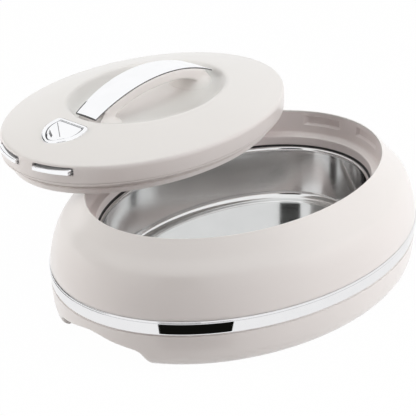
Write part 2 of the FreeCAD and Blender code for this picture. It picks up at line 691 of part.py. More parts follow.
def make_handle():
    """The arched handle, with two flared feet that follow the well."""
    strip = lens("grip_plan", "grip_width", "grip_end_width", "grip_length", "0",
                 "grip_top + 1")
    span = bind(new("Part::Ellipse", "grip_span_outline"), MajorRadius="grip_span/2",
                MinorRadius="grip_clear")
    span.Placement.Rotation = FreeCAD.Rotation(FreeCAD.Vector(1, 0, 0), 90)
    bind(span, y="grip_width")
    opening = new("Part::Extrusion", "grip_opening")
    opening.Base = span
    opening.DirMode = "Custom"
    opening.Dir = FreeCAD.Vector(0, -1, 0)
    opening.Solid = True
    bind(opening, LengthFwd="2*grip_width")
    bar = cut("grip_bar", strip, opening, cover_form)
    parts = [common("grip_arch", bar, back("grip_back", "0"))]
    inner_end = "(foot_reach + foot_length*0.18)"
    foot_top = (f"(grip_top - grip_radius + sqrt(grip_radius^2 - {inner_end}^2)"
                " - trim_thick*1.5)")
    flare = loft("grip_flare", [
        ("foot_width/2", "foot_length/2", "0"),
        ("foot_width/2*0.86", "foot_length/2*0.86", f"{foot_top}*0.25"),
        ("grip_width/2*1.02", "foot_length/2*0.6", f"{foot_top}*0.6"),
        ("grip_end_width/2*0.9", "foot_length/2*0.36", foot_top)])
    flare.Placement.Rotation = FreeCAD.Rotation(FreeCAD.Vector(0, 0, 1), 90)
    foot = cut("grip_foot", bind(flare, x="-foot_reach"), cover_form)
    other = new("Part::Mirroring", "grip_foot_mirrored")
    other.Source = foot
    other.Normal = FreeCAD.Vector(1, 0, 0)
    parts += [foot, other]
    bores = [rod(f"grip_bore_{name}", "grip_screw + thread_gap", x, 0, "-1",
                 f"{GRIP_BOSS_FOOT} + grip_screw_reach + 1.5") for name, x in GRIP_SCREWS]
    handle = cut("handle", fuse("grip_block", *parts), trim_form("inlay_room", "fit_gap/2"),
                 *bores)
    lid_node(handle, "fit_gap/2")


def trim_form(label, grow):
    """The inlay on the handle's back, grown by a gap."""
    plan = lens(f"{label}_plan", f"grip_width - 2*trim_border + 2*({grow})",
                f"grip_end_width - 2*trim_border + 2*({grow})", f"trim_length + 2*({grow})",
                "0", "grip_top + 2")
    ring_back = cut(f"{label}_back", back(f"{label}_top", f"-({grow})"),
                    back(f"{label}_under", f"trim_thick + ({grow})"))
    return common(label, plan, ring_back)


def make_handle_trim():
    """The chrome strip let into the handle's back."""
    trim = trim_form("handle_trim", "0")
    lid_node(trim, "fit_gap/2")


def make_handle_screws():
    """Two screws from inside the lid up into the handle's feet."""
    screws = []
    for name, x in GRIP_SCREWS:
        head = rod(f"grip_screw_{name}_head", "grip_screw_head", x, 0,
                   f"{GRIP_BOSS_FOOT} - grip_screw", "grip_screw")
        shaft = rod(f"grip_screw_{name}_shaft", "grip_screw", x, 0,
                    f"{GRIP_BOSS_FOOT} - grip_screw", "grip_screw + grip_screw_reach")
        screws.append(fuse(f"grip_screw_{name}", head, shaft))
    lid_node(group("handle_screws", *screws))


# ---------------------------------------------------------------- lid: button

PIN_Z = "(-hinge_sink)"
PLATE_FOOT = "(button_proud - button_thick)"
BEZEL_TOP = "(button_proud + fit_gap)"
BEZEL_FOOT = f"({BEZEL_TOP} - bezel_height)"


def tilted_node(label, thing):
    """Notes a piece of the button, on the dome's slope, in the lid."""
    lid_node(group(label, tilted(thing)))


def make_button():
    """The release button: shield, hinge lug and the leg that works the latches."""
    plate = shield("button_plate", "0", PLATE_FOOT, "button_proud")
    into = "button_thick/2"
    lug_foot = f"({PIN_Z} - 1.7*hinge_pin)"
    lug = block("button_lug", "-hinge_reach", 0, lug_foot, "3.4*hinge_pin", "lug_width",
                f"{PLATE_FOOT} + {into} - {lug_foot}")
    leg = block("button_leg", "-leg_reach", 0, "-leg_length", "button_thick", "leg_width",
                f"{PLATE_FOOT} + {into} + leg_length")
    bore = cross_rod("lug_bore", "hinge_pin + turn_gap", "-hinge_reach", PIN_Z, "2*lug_width")
    tilted_node("release_button", cut("level_button", fuse("button_block", plate, lug, leg),
                                      bore))


def make_bezel():
    """The frame round the button: ring, flange under the cover and two hinge ears."""
    ring_outside = shield("bezel_ring", "button_gap + bezel_width", BEZEL_FOOT, BEZEL_TOP)
    flange = shield("bezel_flange_plate", "button_gap + bezel_width + bezel_flange",
                    BEZEL_FOOT, f"{BEZEL_FOOT} + bezel_lip")
    room = shield("bezel_room", "button_gap", "-2*bezel_height", "bezel_height")
    frame = cut("bezel_frame", fuse("bezel_block", ring_outside, flange), room)
    ear_foot = f"({PIN_Z} - 1.7*hinge_pin)"
    ears = []
    for side, name in ((-1, "n"), (1, "p")):
        ears.append(block(f"bezel_ear_{name}", "-hinge_reach",
                          f"{side}*(lug_width/2 + run_gap + ear_width/2)", ear_foot,
                          "5*hinge_pin", "ear_width",
                          f"{PLATE_FOOT} - 2*run_gap - {ear_foot}"))
    bore = cross_rod("ear_bore", "hinge_pin + thread_gap", "-hinge_reach", PIN_Z,
                     "4*lug_width")
    tilted_node("button_bezel", cut("level_bezel", fuse("bezel_eared", frame, *ears), bore))


def make_button_pin():
    """The hinge pin, with a thinner tip at both ends."""
    length = "(lug_width + 2*run_gap + 2*ear_width)"
    shaft = cross_rod("pin_shaft", "hinge_pin", "-hinge_reach", PIN_Z, length)
    tips = cross_rod("pin_tips", "hinge_pin*2/3", "-hinge_reach", PIN_Z, f"{length} + run_gap")
    tilted_node("button_pin", fuse("level_pin", shaft, tips))


# ---------------------------------------------------------------- lid: latches

def tongues(label, end):
    """Two tongues that end on the lid's outline, for one end of the lid."""
    slabs = []
    reach = "(opening_length/2 + 2*tongue_reach - bar_inner)"
    for side, name in ((-1, "n"), (1, "p")):
        slabs.append(block(f"{label}_slab_{name}", f"{end}*(bar_inner + 1 + {reach}/2)",
                           f"{side}*tongue_offset", LATCH_FOOT, reach, "tongue_width",
                           "latch_thick"))
    outline = prism(f"{label}_outline", "tongue_reach", f"{LATCH_FOOT} - 1", "0")
    return common(label, fuse(f"{label}_slabs", *slabs), outline)


def latch_parts(label, end):
    """A latch: bar, two tongues and the arm that reaches the rocker, with its slot."""
    bar = block(f"{label}_bar", f"{end}*(bar_outer + bar_inner)/2", 0, LATCH_FOOT,
                "bar_outer - bar_inner", "bar_width", "latch_thick")
    arm_length = "(bar_inner + link_width)"
    arm = block(f"{label}_arm", f"{end}*(bar_inner + 2 - {arm_length}/2)",
                f"{-end}*rocker_arm", "-latch_top - link_thick", arm_length, "link_width",
                "link_thick")
    slot = block(f"{label}_slot", 0, f"{-end}*(rocker_arm - run_gap)",
                 "-latch_top - 2*link_thick", "2*(link_pin + run_gap)",
                 "2*(link_pin + 3*run_gap)", "3*link_thick")
    return [bar, tongues(f"{label}_tongues", end), arm], slot


def make_latches():
    """Both latches; the front one also carries the ramp under the button's leg."""
    parts, slot = latch_parts("front", -1)
    shelf_length = f"(bar_inner - {BUTTON_X} + 2)"
    shelf = block("ramp_shelf", f"{shelf_length}/2 - bar_inner - 2", 0, LATCH_FOOT,
                  shelf_length, "ramp_width", "latch_thick")
    ramp = bind(new("Part::Wedge", "latch_ramp"), Xmin=f"-{BUTTON_X} - ramp_foot",
                Xmax=f"-{BUTTON_X}", X2min=f"-{BUTTON_X} - ramp_top",
                X2max=f"-{BUTTON_X}", Ymin="-latch_top - 1",
                Ymax="-latch_top + ramp_rise", Zmin="-ramp_width/2", Zmax="ramp_width/2",
                Z2min="-ramp_width/2", Z2max="ramp_width/2")
    ramp.Placement.Rotation = FreeCAD.Rotation(FreeCAD.Vector(1, 0, 0), 90)
    lid_node(cut("front_latch", fuse("front_block", *parts, shelf, ramp), slot))
    parts, slot = latch_parts("rear", 1)
    lid_node(cut("rear_latch", fuse("rear_block", *parts), slot))


KEEPER_WIDTH = "(bar_width + 2*rail_gap + 2*rail_width)"
SPRING_Y = "(bar_width/2 - spring_inset)"


def make_rocker():
    """The rocker that makes both latches draw in together, and its pivot pin."""
    top = f"({LATCH_FOOT} + rocker_thick)"
    hub = rod("rocker_disc", "rocker_hub", 0, 0, LATCH_FOOT, "rocker_thick")
    beam = block("rocker_beam", 0, 0, LATCH_FOOT, "rocker_width", "2*rocker_reach",
                 "rocker_thick")
    pins = [rod(f"rocker_link_{name}", "link_pin", 0, f"{side}*rocker_arm",
                f"{top} - rocker_thick/2", "rocker_thick/2 + link_thick + 3*run_gap")
            for side, name in ((-1, "n"), (1, "p"))]
    bore = rod("rocker_bore", "pivot_pin + turn_gap", 0, 0, f"{LATCH_FOOT} - 1",
               "3*rocker_thick")
    lid_node(cut("latch_rocker", fuse("rocker_block", hub, beam, *pins), bore))
    shaft = rod("pivot_shaft", "pivot_pin", 0, 0, DECK_FOOT, f"{top} + run_gap - {DECK_FOOT}")
    cap = rod("pivot_cap_disc", "pivot_head", 0, 0, f"{top} + run_gap", "pivot_cap")
    lid_node(fuse("rocker_pin", shaft, cap))


def make_deck():
    """The plate that carries both latches, with rails and spring lugs."""
    plate = common("deck_plate",
                   block("deck_slab", 0, 0, DECK_FOOT, "opening_length",
                         f"{KEEPER_WIDTH} + 2*deck_border", "deck_thick"),
                   prism("deck_outline", "-lid_gap - lid_wall - run_gap", f"{DECK_FOOT} - 1",
                         "0"))
    added, holes = [], []
    rail = "latch_thick + 2*run_gap + deck_thick/2"
    for name, x, y in corners("rail_middle", "(bar_width/2 + rail_gap + rail_width/2)"):
        added.append(block(f"rail_{name}", x, y, f"{DECK_TOP} - deck_thick/2", "rail_length",
                           "rail_width", rail))
    for name, end in (("front", -1), ("rear", 1)):
        added.append(block(f"lug_{name}", f"{end}*(bar_inner - spring_length - lug_thick/2)",
                           f"{end}*{SPRING_Y}", f"{DECK_TOP} - deck_thick/2", "lug_thick",
                           "4*coil_radius", "latch_thick + run_gap + deck_thick/2"))
    for name, x, y in POSTS:
        holes.append(rod(f"deck_hole_{name}", "deck_screw + fit_gap", x, y,
                         f"{DECK_FOOT} - 1", "2*deck_thick"))
    holes.append(rod("deck_hole_pivot", "pivot_pin + thread_gap", 0, 0, f"{DECK_FOOT} - 1",
                     "2*deck_thick"))
    lid_node(cut("latch_deck", fuse("deck_block", plate, *added), *holes))

    screws = []
    for name, x, y in POSTS:
        head = rod(f"deck_screw_{name}_head", "deck_screw_head", x, y,
                   f"{DECK_FOOT} - deck_screw_cap", "deck_screw_cap")
        shaft = rod(f"deck_screw_{name}_shaft", "deck_screw", x, y,
                    f"{DECK_FOOT} - deck_screw_cap", "deck_screw_cap + deck_screw_reach")
        screws.append(fuse(f"deck_screw_{name}", head, shaft))
    lid_node(group("deck_screws", *screws))
    keepers = [block(f"keeper_{name}", f"{end}*keeper_middle", 0,
                     "-latch_top + run_gap", "keeper_length", KEEPER_WIDTH,
                     "keeper_thick")
               for name, end in (("front", -1), ("rear", 1))]
    lid_node(group("latch_keepers", *keepers))


def coil(label, length, rotation, **place):
    """A round-wire coil spring that starts at a place and runs along a direction."""
    path = bind(new("Part::Helix", f"{label}_path"), Pitch="coil_pitch", Radius="coil_radius",
                Height=f"{length} - 2*coil_wire")
    wire = bind(new("Part::Circle", f"{label}_wire"), Radius="coil_wire", x="coil_radius")
    wire.Placement.Rotation = FreeCAD.Rotation(FreeCAD.Vector(1, 0, 0), 90)
    spring = new("Part::Sweep", f"{label}_coil")
    spring.Sections = [wire]
    spring.Spine = (path, ["Edge1"])
    spring.Solid = True
    spring.Frenet = True
    spring.Placement.Rotation = rotation
    return lid_node(group(f"{label}_spring", bind(spring, **place)))


def make_springs():
    """The springs that push both latches out and the button up."""
    upright = FreeCAD.Rotation()
    coil("button", "button_spring_length", upright, x=f"-{BUTTON_X} - button_spring_reach",
         y="-button_spring_y", z=f"{DECK_TOP} + coil_wire")
    for name, end in (("front_latch", -1), ("rear_latch", 1)):
        along = FreeCAD.Rotation(FreeCAD.Vector(0, 1, 0), 90 * end)
        coil(name, "spring_length", along, y=f"{end}*{SPRING_Y}",
             x=f"{end}*(bar_inner - spring_length + coil_wire)",
             z="-latch_top - latch_thick/2")


make_outer_casing()
make_bottom_shell()
make_band()
make_collar()
make_pot()
make_pot_seal()
make_base_foam()
make_fasteners()
make_cover()
make_liner()
make_lid_seal()
make_lid_foam()
make_handle()
make_handle_trim()
make_handle_screws()
make_button()
make_bezel()
make_button_pin()
make_latches()
make_rocker()
make_deck()
make_springs()

doc.recompute()
faults = [thing.Label for thing in doc.Objects
          if "Invalid" in thing.State or "Error" in thing.State]
faults += [piece.Label for piece in NODES if piece.Shape.isNull() or not piece.Shape.isValid()]
if faults:
    raise RuntimeError("not built: " + ", ".join(faults))

os.makedirs("parts", exist_ok=True)
for piece in NODES:
    piece.Shape.exportStep(f"parts/{piece.Label}.step")
    print(piece.Label, len(piece.Shape.Solids), round(piece.Shape.Volume / 1000, 2), "cm3")
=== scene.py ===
"""Dresses the insulated casserole: moulded shells, polished pot, chrome trim, studio and camera.

Lengths are metres.  The base stands round the origin.  The lid is worked out about the centre
of its edge plane and then set where the frame holds it.  An outset is a distance out from the
mouth's oval, a drop is a distance down from the rim.  A grid of points counts its columns first,
then its rows.
"""

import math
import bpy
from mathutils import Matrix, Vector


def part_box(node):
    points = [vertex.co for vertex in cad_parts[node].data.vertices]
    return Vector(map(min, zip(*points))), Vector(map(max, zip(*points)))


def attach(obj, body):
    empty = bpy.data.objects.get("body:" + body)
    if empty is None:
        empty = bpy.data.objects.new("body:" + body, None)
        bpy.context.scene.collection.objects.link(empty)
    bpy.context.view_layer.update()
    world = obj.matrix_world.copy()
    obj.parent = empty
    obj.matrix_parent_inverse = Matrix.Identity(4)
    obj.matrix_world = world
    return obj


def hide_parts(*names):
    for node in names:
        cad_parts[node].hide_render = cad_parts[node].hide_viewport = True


bl_info = {
    "name": "Oval casserole",
    "version": (1, 0, 0),
    "blender": (4, 5, 0),
    "location": "View3D > Sidebar > Casserole",
    "description": "Builds the visible pieces of an insulated casserole round its CAD frame",
    "category": "Object",
}

import bmesh
import bpy
import numpy as np
from mathutils import Matrix, Vector

MM = 0.001
FULL_TURN = 2 * math.pi
# Columns of a piece that goes round an oval
COLUMNS = 320

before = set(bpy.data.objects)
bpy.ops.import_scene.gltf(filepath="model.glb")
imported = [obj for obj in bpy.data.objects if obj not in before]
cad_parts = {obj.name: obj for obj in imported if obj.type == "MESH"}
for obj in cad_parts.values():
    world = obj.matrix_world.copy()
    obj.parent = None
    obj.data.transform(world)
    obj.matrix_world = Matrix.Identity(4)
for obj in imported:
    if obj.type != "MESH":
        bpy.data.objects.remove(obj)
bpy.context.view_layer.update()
COLLAR_LOW, COLLAR_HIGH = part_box("inner_collar")
BAND_LOW, BAND_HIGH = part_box("chrome_band")
COVER_LOW, COVER_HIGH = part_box("lid_cover")
LINER_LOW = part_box("lid_liner")[0]
POT_LOW, POT_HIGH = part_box("steel_pot")
# Height where the two outer shells meet, behind the band
JOINT = (BAND_LOW.z + BAND_HIGH.z) / 2


def length(name, default, description, least=0.0):
    """A length that a user would change."""
    return bpy.props.FloatProperty(name=name, description=description, default=default,
                                   min=least, unit="LENGTH", precision=4)


def colour(name, default, description):
    """A colour that a user would change."""
    return bpy.props.FloatVectorProperty(name=name, description=description, default=default,
                                         subtype="COLOR", size=3, min=0.0, max=1.0)


class CasseroleBaseSizes(bpy.types.PropertyGroup):
    """Sizes of the base."""
    mouth_length: length("Mouth length", 300 * MM, "Opening of the base, long way")
    mouth_width: length("Mouth width", 208 * MM, "Opening of the base, short way")
    rim_height: length("Rim height", COLLAR_HIGH.z, "Table to the crown of the rim")
    belly_drop: length("Belly drop", 60 * MM, "Rim to the widest line")
    belly_swell: length("Belly swell", 32 * MM, "Belly past the mouth")
    skin: length("Skin", 2.4 * MM, "Wall of the casing")
    foot_gap: length("Foot gap", 0.5 * MM, "Bottom shell above the table")
    arch_shift: length("Arch shift", -3 * MM, "Middle of the left finger arch", -20 * MM)
    arch_half: length("Arch half width", 47 * MM, "Finger arch, half its width")
    arch_height: length("Arch height", 21.5 * MM, "Finger arch at its middle")
    arch_depth: length("Arch end", 146 * MM, "Back of the finger arch from the middle")
    arch_lip: length("Arch lip", 3.2 * MM, "Rounding of the arch's edge")
    band_groove: length("Band groove", 1.1 * MM, "Dark line under the band")
    ledge_drop: length("Ledge drop", 22.6 * MM, "Rim to the ledge")
    ledge_inset: length("Ledge inset", 8.5 * MM, "Step in at the ledge")
    collar_wall: length("Collar wall", 3.4 * MM, "Wall of the inner collar")
    pocket_offset: length("Pocket offset", 26 * MM, "Latch pocket from the long axis")
    pocket_width: length("Pocket width", 33 * MM, "Latch pocket")
    pocket_drop: length("Pocket drop", 4.5 * MM, "Rim to a latch pocket")
    pocket_height: length("Pocket height", 9.5 * MM, "Latch pocket")
    pocket_depth: length("Pocket depth", 2.4 * MM, "Latch pocket")
    pot_inset: length("Pot inset", 12.9 * MM, "Inside of the pot's wall at the top")
    pot_taper: length("Pot taper", 2.2 * MM, "How much the pot's wall leans in")
    pot_corner: length("Pot corner", 7 * MM, "Round between wall and floor")
    bead: length("Rolled rim", 2.4 * MM, "Radius of the pot's rolled rim")


class CasseroleLidSizes(bpy.types.PropertyGroup):
    """Sizes of the lid."""
    turn: bpy.props.FloatProperty(name="Turn", description="How far the lid is turned at rest",
                                  default=math.radians(2.75), subtype="ANGLE")
    gap: length("Gap", 1 * MM, "Lid inside the mouth")
    wall: length("Wall", 2.4 * MM, "Wall of the cover")
    side: length("Side", 16.3 * MM, "Edge plane to the foot of the cover")
    step: length("Step", 17.9 * MM, "Edge plane to the step")
    edge_in: length("Edge rounding", 2 * MM, "Edge rounding, inwards")
    edge_down: length("Edge drop", 4.6 * MM, "Edge rounding, downwards")
    rise: length("Dome rise", 19.5 * MM, "Top of the dome")
    well_shift: length("Well shift", 3 * MM, "How far the hand well lies from the button")
    well_length: length("Well length", 167 * MM, "Hand well in the dome")
    well_depth: length("Well depth", 10.3 * MM, "Hand well")
    well_slope: length("Well slope", 30 * MM, "How far the well's wall runs in")
    grip_top: length("Handle top", 32.4 * MM, "Crown of the handle")
    grip_radius: length("Handle radius", 170 * MM, "Curve of the handle's back")
    grip_half: length("Handle half width", 15.5 * MM, "Handle at its middle")
    grip_end_half: length("Handle end half width", 12 * MM, "Handle at its ends")
    grip_reach: length("Handle reach", 81 * MM, "Handle's end from the middle")
    grip_full: length("Handle full reach", 84 * MM, "Where the handle's outline has its end width")
    grip_clear: length("Hand clearance", 21 * MM, "Underside of the handle")
    grip_span: length("Hand span", 62 * MM, "Half of the hand opening")
    foot_reach: length("Foot reach", 61 * MM, "Handle foot from the middle")
    trim_reach: length("Trim reach", 76 * MM, "End of the chrome strip from the middle")
    trim_border: length("Trim border", 0.7 * MM, "Handle beside the chrome strip")
    trim_crown: length("Trim crown", 0.45 * MM, "Chrome strip, rise of its middle")
    trim_thick: length("Trim thickness", 1.2 * MM, "Chrome strip")
    button_reach: length("Button reach", 92.5 * MM, "Button's straight edge from the middle")
    button_long: length("Button length", 30 * MM, "Button, straight edge to round end")
    button_wide: length("Button width", 30 * MM, "Button at its straight edge")
    button_gap: length("Button gap", 0.5 * MM, "Between button and bezel")
    bezel_wide: length("Bezel width", 2.4 * MM, "Bezel")
    tongue_wide: length("Slot width", 35 * MM, "Latch slot")
    tongue_droop: length("Tongue droop", 2.2 * MM, "How much a tongue's top falls to its end")
    tongue_offset: length("Slot offset", 25.5 * MM, "Latch slot from the long axis")


class CasseroleColours(bpy.types.PropertyGroup):
    """Colours of the finishes."""
    shell: colour("Shell", (0.82, 0.805, 0.785), "Outer shells")
    collar: colour("Collar", (0.86, 0.805, 0.79), "Inner collar")
    steel: colour("Steel", (0.82, 0.825, 0.825), "Polished pot")
    chrome: colour("Chrome", (0.95, 0.955, 0.97), "Plated trim")
    band: colour("Band", (0.82, 0.82, 0.83), "Plated band")
    # A dark chrome that draws painted shade lines on the strip's edges and the button's beads
    painted_edge_shade: colour("Painted edge shade", (0.17, 0.17, 0.175), "Dark chrome along the strip's edges, painted shade")
    # Black of the seals and pads, and of the painted shade line on the button's bezel
    rubber_and_painted_shade: colour("Rubber", (0.03, 0.03, 0.03), "Seals and pads")
    silicone: colour("Silicone", (0.70, 0.67, 0.65), "Seal of the lid")
    foam: colour("Foam", (0.80, 0.74, 0.56), "Insulation")
    zinc: colour("Zinc", (0.55, 0.56, 0.58), "Screws, pins and springs")
    acetal: colour("Acetal", (0.42, 0.42, 0.43), "Latch works")


# ---------------------------------------------------------------- curves and grids

def steady_curve(at, known, values):
    """A smooth curve through known points that never overshoots: cubic pieces whose end slopes
    are the weighted harmonic mean of the neighbouring chords, or nothing where they turn."""
    at, known, values = (np.asarray(given, float) for given in (at, known, values))
    run = np.diff(known)
    slope = np.diff(values) / run
    before, after = slope[:-1], slope[1:]
    weight_before = 2 * run[1:] + run[:-1]
    weight_after = run[1:] + 2 * run[:-1]
    same_way = before * after > 0
    mean = (weight_before + weight_after) / (weight_before / np.where(same_way, before, 1)
                                             + weight_after / np.where(same_way, after, 1))
    tangent = np.concatenate([slope[:1], np.where(same_way, mean, 0), slope[-1:]])
    place = np.clip(np.searchsorted(known, at) - 1, 0, len(run) - 1)
    t = (at - known[place]) / run[place]
    rest = 1 - t
    return ((1 + 2 * t) * rest ** 2 * values[place] + t * rest ** 2 * run[place] * tangent[place]
            + t ** 2 * (3 - 2 * t) * values[place + 1]
            - t ** 2 * rest * run[place] * tangent[place + 1])


def arc(centre_out, centre_up, radius, start, end, count):
    """Points of a profile on a circle, from one angle to another in degrees."""
    angle = np.radians(np.linspace(start, end, count))
    return np.stack([centre_out + radius * np.cos(angle), centre_up + radius * np.sin(angle)], 1)


def profile(*stretches):
    """Stretches of a profile joined into one list of outsets and heights."""
    return np.concatenate([np.atleast_2d(stretch) for stretch in stretches])


def mouth_grid(size, outline, share=1.0, columns=COLUMNS):
    """Every point of an outline carried round the mouth's oval: x = (half length + outset) cos u
    and y = (half width + outset) sin u, both times the point's share, at the point's height."""
    u = np.arange(columns) / columns * FULL_TURN
    x = np.outer(np.cos(u), (size.mouth_length / 2 + outline[:, 0]) * share)
    y = np.outer(np.sin(u), (size.mouth_width / 2 + outline[:, 0]) * share)
    return np.stack([x, y, np.broadcast_to(outline[:, 1], x.shape)], 2)


def along_x(x, sections):
    """Sections that each stand at their own x, as a grid whose columns go round them."""
    places = np.broadcast_to(x[:, None, None], sections.shape[:2] + (1,))
    return np.concatenate([places, sections], 2).transpose(1, 0, 2)


def weave(columns, rows, joined):
    """The four corners of every cell of a grid whose columns go round; joined, the last row
    meets the first."""
    i = np.arange(columns)[:, None]
    j = np.arange(rows if joined else rows - 1)[None, :]
    i_next, j_next = (i + 1) % columns, (j + 1) % rows
    return np.stack([i * rows + j, i_next * rows + j, i_next * rows + j_next, i * rows + j_next],
                    2).reshape(-1, 4)


def grid_mesh(name, points, ends="open"):
    """A mesh from a grid of points.  Its first and last rows stay open, are joined to each
    other, or are capped, each by a fan to its own middle point."""
    columns, rows = points.shape[:2]
    vertices = points.reshape(-1, 3)
    faces = weave(columns, rows, ends == "joined").tolist()
    if ends == "capped":
        column = np.arange(columns) * rows
        for row, direction in ((0, -1), (rows - 1, 1)):
            fan = np.stack([column + row, np.roll(column, -1) + row,
                            np.full(columns, len(vertices))], 1)
            vertices = np.vstack([vertices, points[:, row].mean(0)])
            faces += fan[:, ::direction].tolist()
    mesh = bpy.data.meshes.new(name)
    mesh.from_pydata(vertices.tolist(), [], faces)
    mesh.update()
    return mesh


def closed_form(name, size, outline, shrink):
    """An outline carried round the mouth's oval, whose two ends run level to the middle in
    steps that keep less and less of the oval."""
    steps = len(shrink)
    whole = profile(np.tile(outline[0], (steps, 1)), outline, np.tile(outline[-1], (steps, 1)))
    share = np.concatenate([shrink[::-1], np.ones(len(outline)), shrink])
    return grid_mesh(name, mouth_grid(size, whole, share), "capped")


def section_ring(half_wide, low, high, radius, count):
    """Closed sections with round corners, one for each half width, foot, top and radius; a
    corner is a quarter circle of some points."""
    quarter = np.linspace(0, math.pi / 2, count)
    corners = []
    for turn, (side, middle) in enumerate(((1, high - radius), (-1, high - radius),
                                           (-1, low + radius), (1, low + radius))):
        angle = quarter + turn * math.pi / 2
        across = side * (half_wide - radius)
        corners.append(np.stack([across[:, None] + radius[:, None] * np.cos(angle),
                                 middle[:, None] + radius[:, None] * np.sin(angle)], 2))
    return np.concatenate(corners, 1)


def rounded_block(name, middle, size, radius):
    """A block along X whose section has four round corners."""
    long, wide, high = size
    both = np.ones(2)
    section = section_ring(both * wide / 2, both * -high / 2, both * high / 2, both * radius, 6)
    points = along_x(np.array([-long / 2, long / 2]), section)
    return grid_mesh(name, points + np.array(middle), "capped")


# ---------------------------------------------------------------- meshes and objects

def vectors_of(items, what):
    """One vector of every vertex or face of a mesh, a row each."""
    values = np.empty(len(items) * 3)
    items.foreach_get(what, values)
    return values.reshape(-1, 3)


def mark_faces(mesh, chosen):
    """Marks the chosen faces for the piece's second finish."""
    mesh.polygons.foreach_set("material_index", chosen.astype(np.int32))


def join_meshes(name, meshes):
    """Several meshes as one."""
    work = bmesh.new()
    for mesh in meshes:
        work.from_mesh(mesh)
    joined = bpy.data.meshes.new(name)
    work.to_mesh(joined)
    work.free()
    return joined


def close_ends(mesh):
    """Fills every open end of a tube with one flat face."""
    work = bmesh.new()
    work.from_mesh(mesh)
    rims = [edge for edge in work.edges if edge.is_boundary]
    bmesh.ops.holes_fill(work, edges=rims, sides=0)
    bmesh.ops.recalc_face_normals(work, faces=work.faces)
    work.to_mesh(mesh)
    work.free()
    return mesh


def placed(name, data):
    """A new object of a mesh, lamp or camera in the scene."""
    made = bpy.data.objects.new(name, data)
    bpy.context.scene.collection.objects.link(made)
    return made


def modified_mesh(mesh, name, *modifiers):
    """The mesh after some modifiers, each a kind and its settings."""
    holder = placed(name, mesh)
    for kind, settings in modifiers:
        modifier = holder.modifiers.new(kind.title(), kind)
        for key, value in settings.items():
            setattr(modifier, key, value)
    evaluated = holder.evaluated_get(bpy.context.evaluated_depsgraph_get())
    result = bpy.data.meshes.new_from_object(evaluated)
    result.name = name
    bpy.data.objects.remove(holder)
    return result


def carve(mesh, name, cutters):
    """The mesh less every cutter mesh."""
    holders = [placed(cutter.name, cutter) for cutter in cutters]
    result = modified_mesh(mesh, name, *(
        ("BOOLEAN", {"operation": "DIFFERENCE", "solver": "EXACT", "object": holder})
        for holder in holders))
    for holder in holders:
        bpy.data.objects.remove(holder)
    return result


def add_piece(mesh, body, replaced, finish, sharp_angle=38, second=None):
    """Puts a mesh into the scene as a finished piece that rides on a body; marked faces wear
    the second finish.  Edges over the sharp angle, in degrees, stay crisp."""
    mesh.shade_smooth()
    mesh.set_sharp_from_angle(angle=math.radians(sharp_angle))
    piece = placed(mesh.name, mesh)
    marks = np.zeros(len(mesh.polygons), np.int32)
    mesh.polygons.foreach_get("material_index", marks)
    mesh.materials.clear()
    mesh.materials.append(finishes()[finish])
    if second:
        mesh.materials.append(finishes()[second])
        mesh.polygons.foreach_set("material_index", marks)
    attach(piece, body)
    if replaced:
        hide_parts(*replaced)


# ---------------------------------------------------------------- shader writing

class Wire:
    """A socket of a material; arithmetic on it adds Math nodes."""

    def __init__(self, shade, socket):
        self.shade = shade
        self.socket = socket

    def combined(self, operation, other):
        """This socket and another value through a Math node."""
        return self.shade.node("ShaderNodeMath", {"operation": operation}, {0: self, 1: other})

    def __add__(self, other):
        return self.combined("ADD", other)

    def __mul__(self, other):
        return self.combined("MULTIPLY", other)

    __radd__ = __add__
    __rmul__ = __mul__


class Shade:
    """The nodes of a material or of the world under construction."""

    def __init__(self, owner, end="ShaderNodeOutputMaterial"):
        self.owner = owner
        self.owner.use_nodes = True
        self.tree = self.owner.node_tree
        self.tree.nodes.clear()
        self.end = self.tree.nodes.new(end)

    def node(self, kind, settings=None, sockets=None, out=0):
        """Adds a node: its settings first, then the values or links of its sockets."""
        made = self.tree.nodes.new(kind)
        for key, value in (settings or {}).items():
            setattr(made, key, value)
        for key, value in (sockets or {}).items():
            if isinstance(value, Wire):
                self.tree.links.new(value.socket, made.inputs[key])
            else:
                made.inputs[key].default_value = value
        return Wire(self, made.outputs[out])

    def place(self):
        """The point on the piece, in metres."""
        return self.node("ShaderNodeTexCoord", out="Object")

    def stretched(self, scale):
        """The point with each axis scaled."""
        return self.node("ShaderNodeMapping", None, {"Vector": self.place(), "Scale": scale})

    def noise(self, scale, detail, vector=None):
        """Smooth noise between about 0.3 and 0.7."""
        return self.node("ShaderNodeTexNoise", None,
                         {"Vector": vector or self.place(), "Scale": scale, "Detail": detail})

    def mix_colour(self, factor, base, dark, light):
        """A colour between a dark and a light share of a base colour."""
        first, second = ((*(channel * share for channel in base), 1.0) for share in (dark, light))
        return self.node("ShaderNodeMix", {"data_type": "RGBA"},
                         {0: factor, 6: first, 7: second}, out=2)

    def bump(self, height, strength, distance):
        """A normal that follows a height."""
        return self.node("ShaderNodeBump", None,
                         {"Height": height, "Strength": strength, "Distance": distance})

    def glow(self, colour_value):
        """An even light of a colour at strength 1."""
        return self.node("ShaderNodeEmission", None,
                         {"Color": (*colour_value, 1), "Strength": 1.0})

    def seen_rays(self):
        """1 on rays from the camera, off a mirror or through glass, else 0."""
        ray = self.node("ShaderNodeLightPath", out="Is Camera Ray")
        outputs = ray.socket.node.outputs
        for kind in ("Is Glossy Ray", "Is Transmission Ray"):
            ray = ray.combined("MAXIMUM", Wire(self, outputs[kind]))
        return ray

    def mixed(self, factor, first, second):
        """Two shaders mixed by a factor."""
        return self.node("ShaderNodeMixShader", None, {0: factor, 1: first, 2: second})

    def close(self, shader):
        """Ends the nodes with a shader; gives back what wears them."""
        self.tree.links.new(shader.socket, self.end.inputs["Surface"])
        return self.owner

    def finish(self, sockets):
        """Ends the nodes with a Principled shader."""
        return self.close(self.node("ShaderNodeBsdfPrincipled", None, sockets))


def new_shade(name):
    """An empty material of that name."""
    return Shade(bpy.data.materials.new(name))


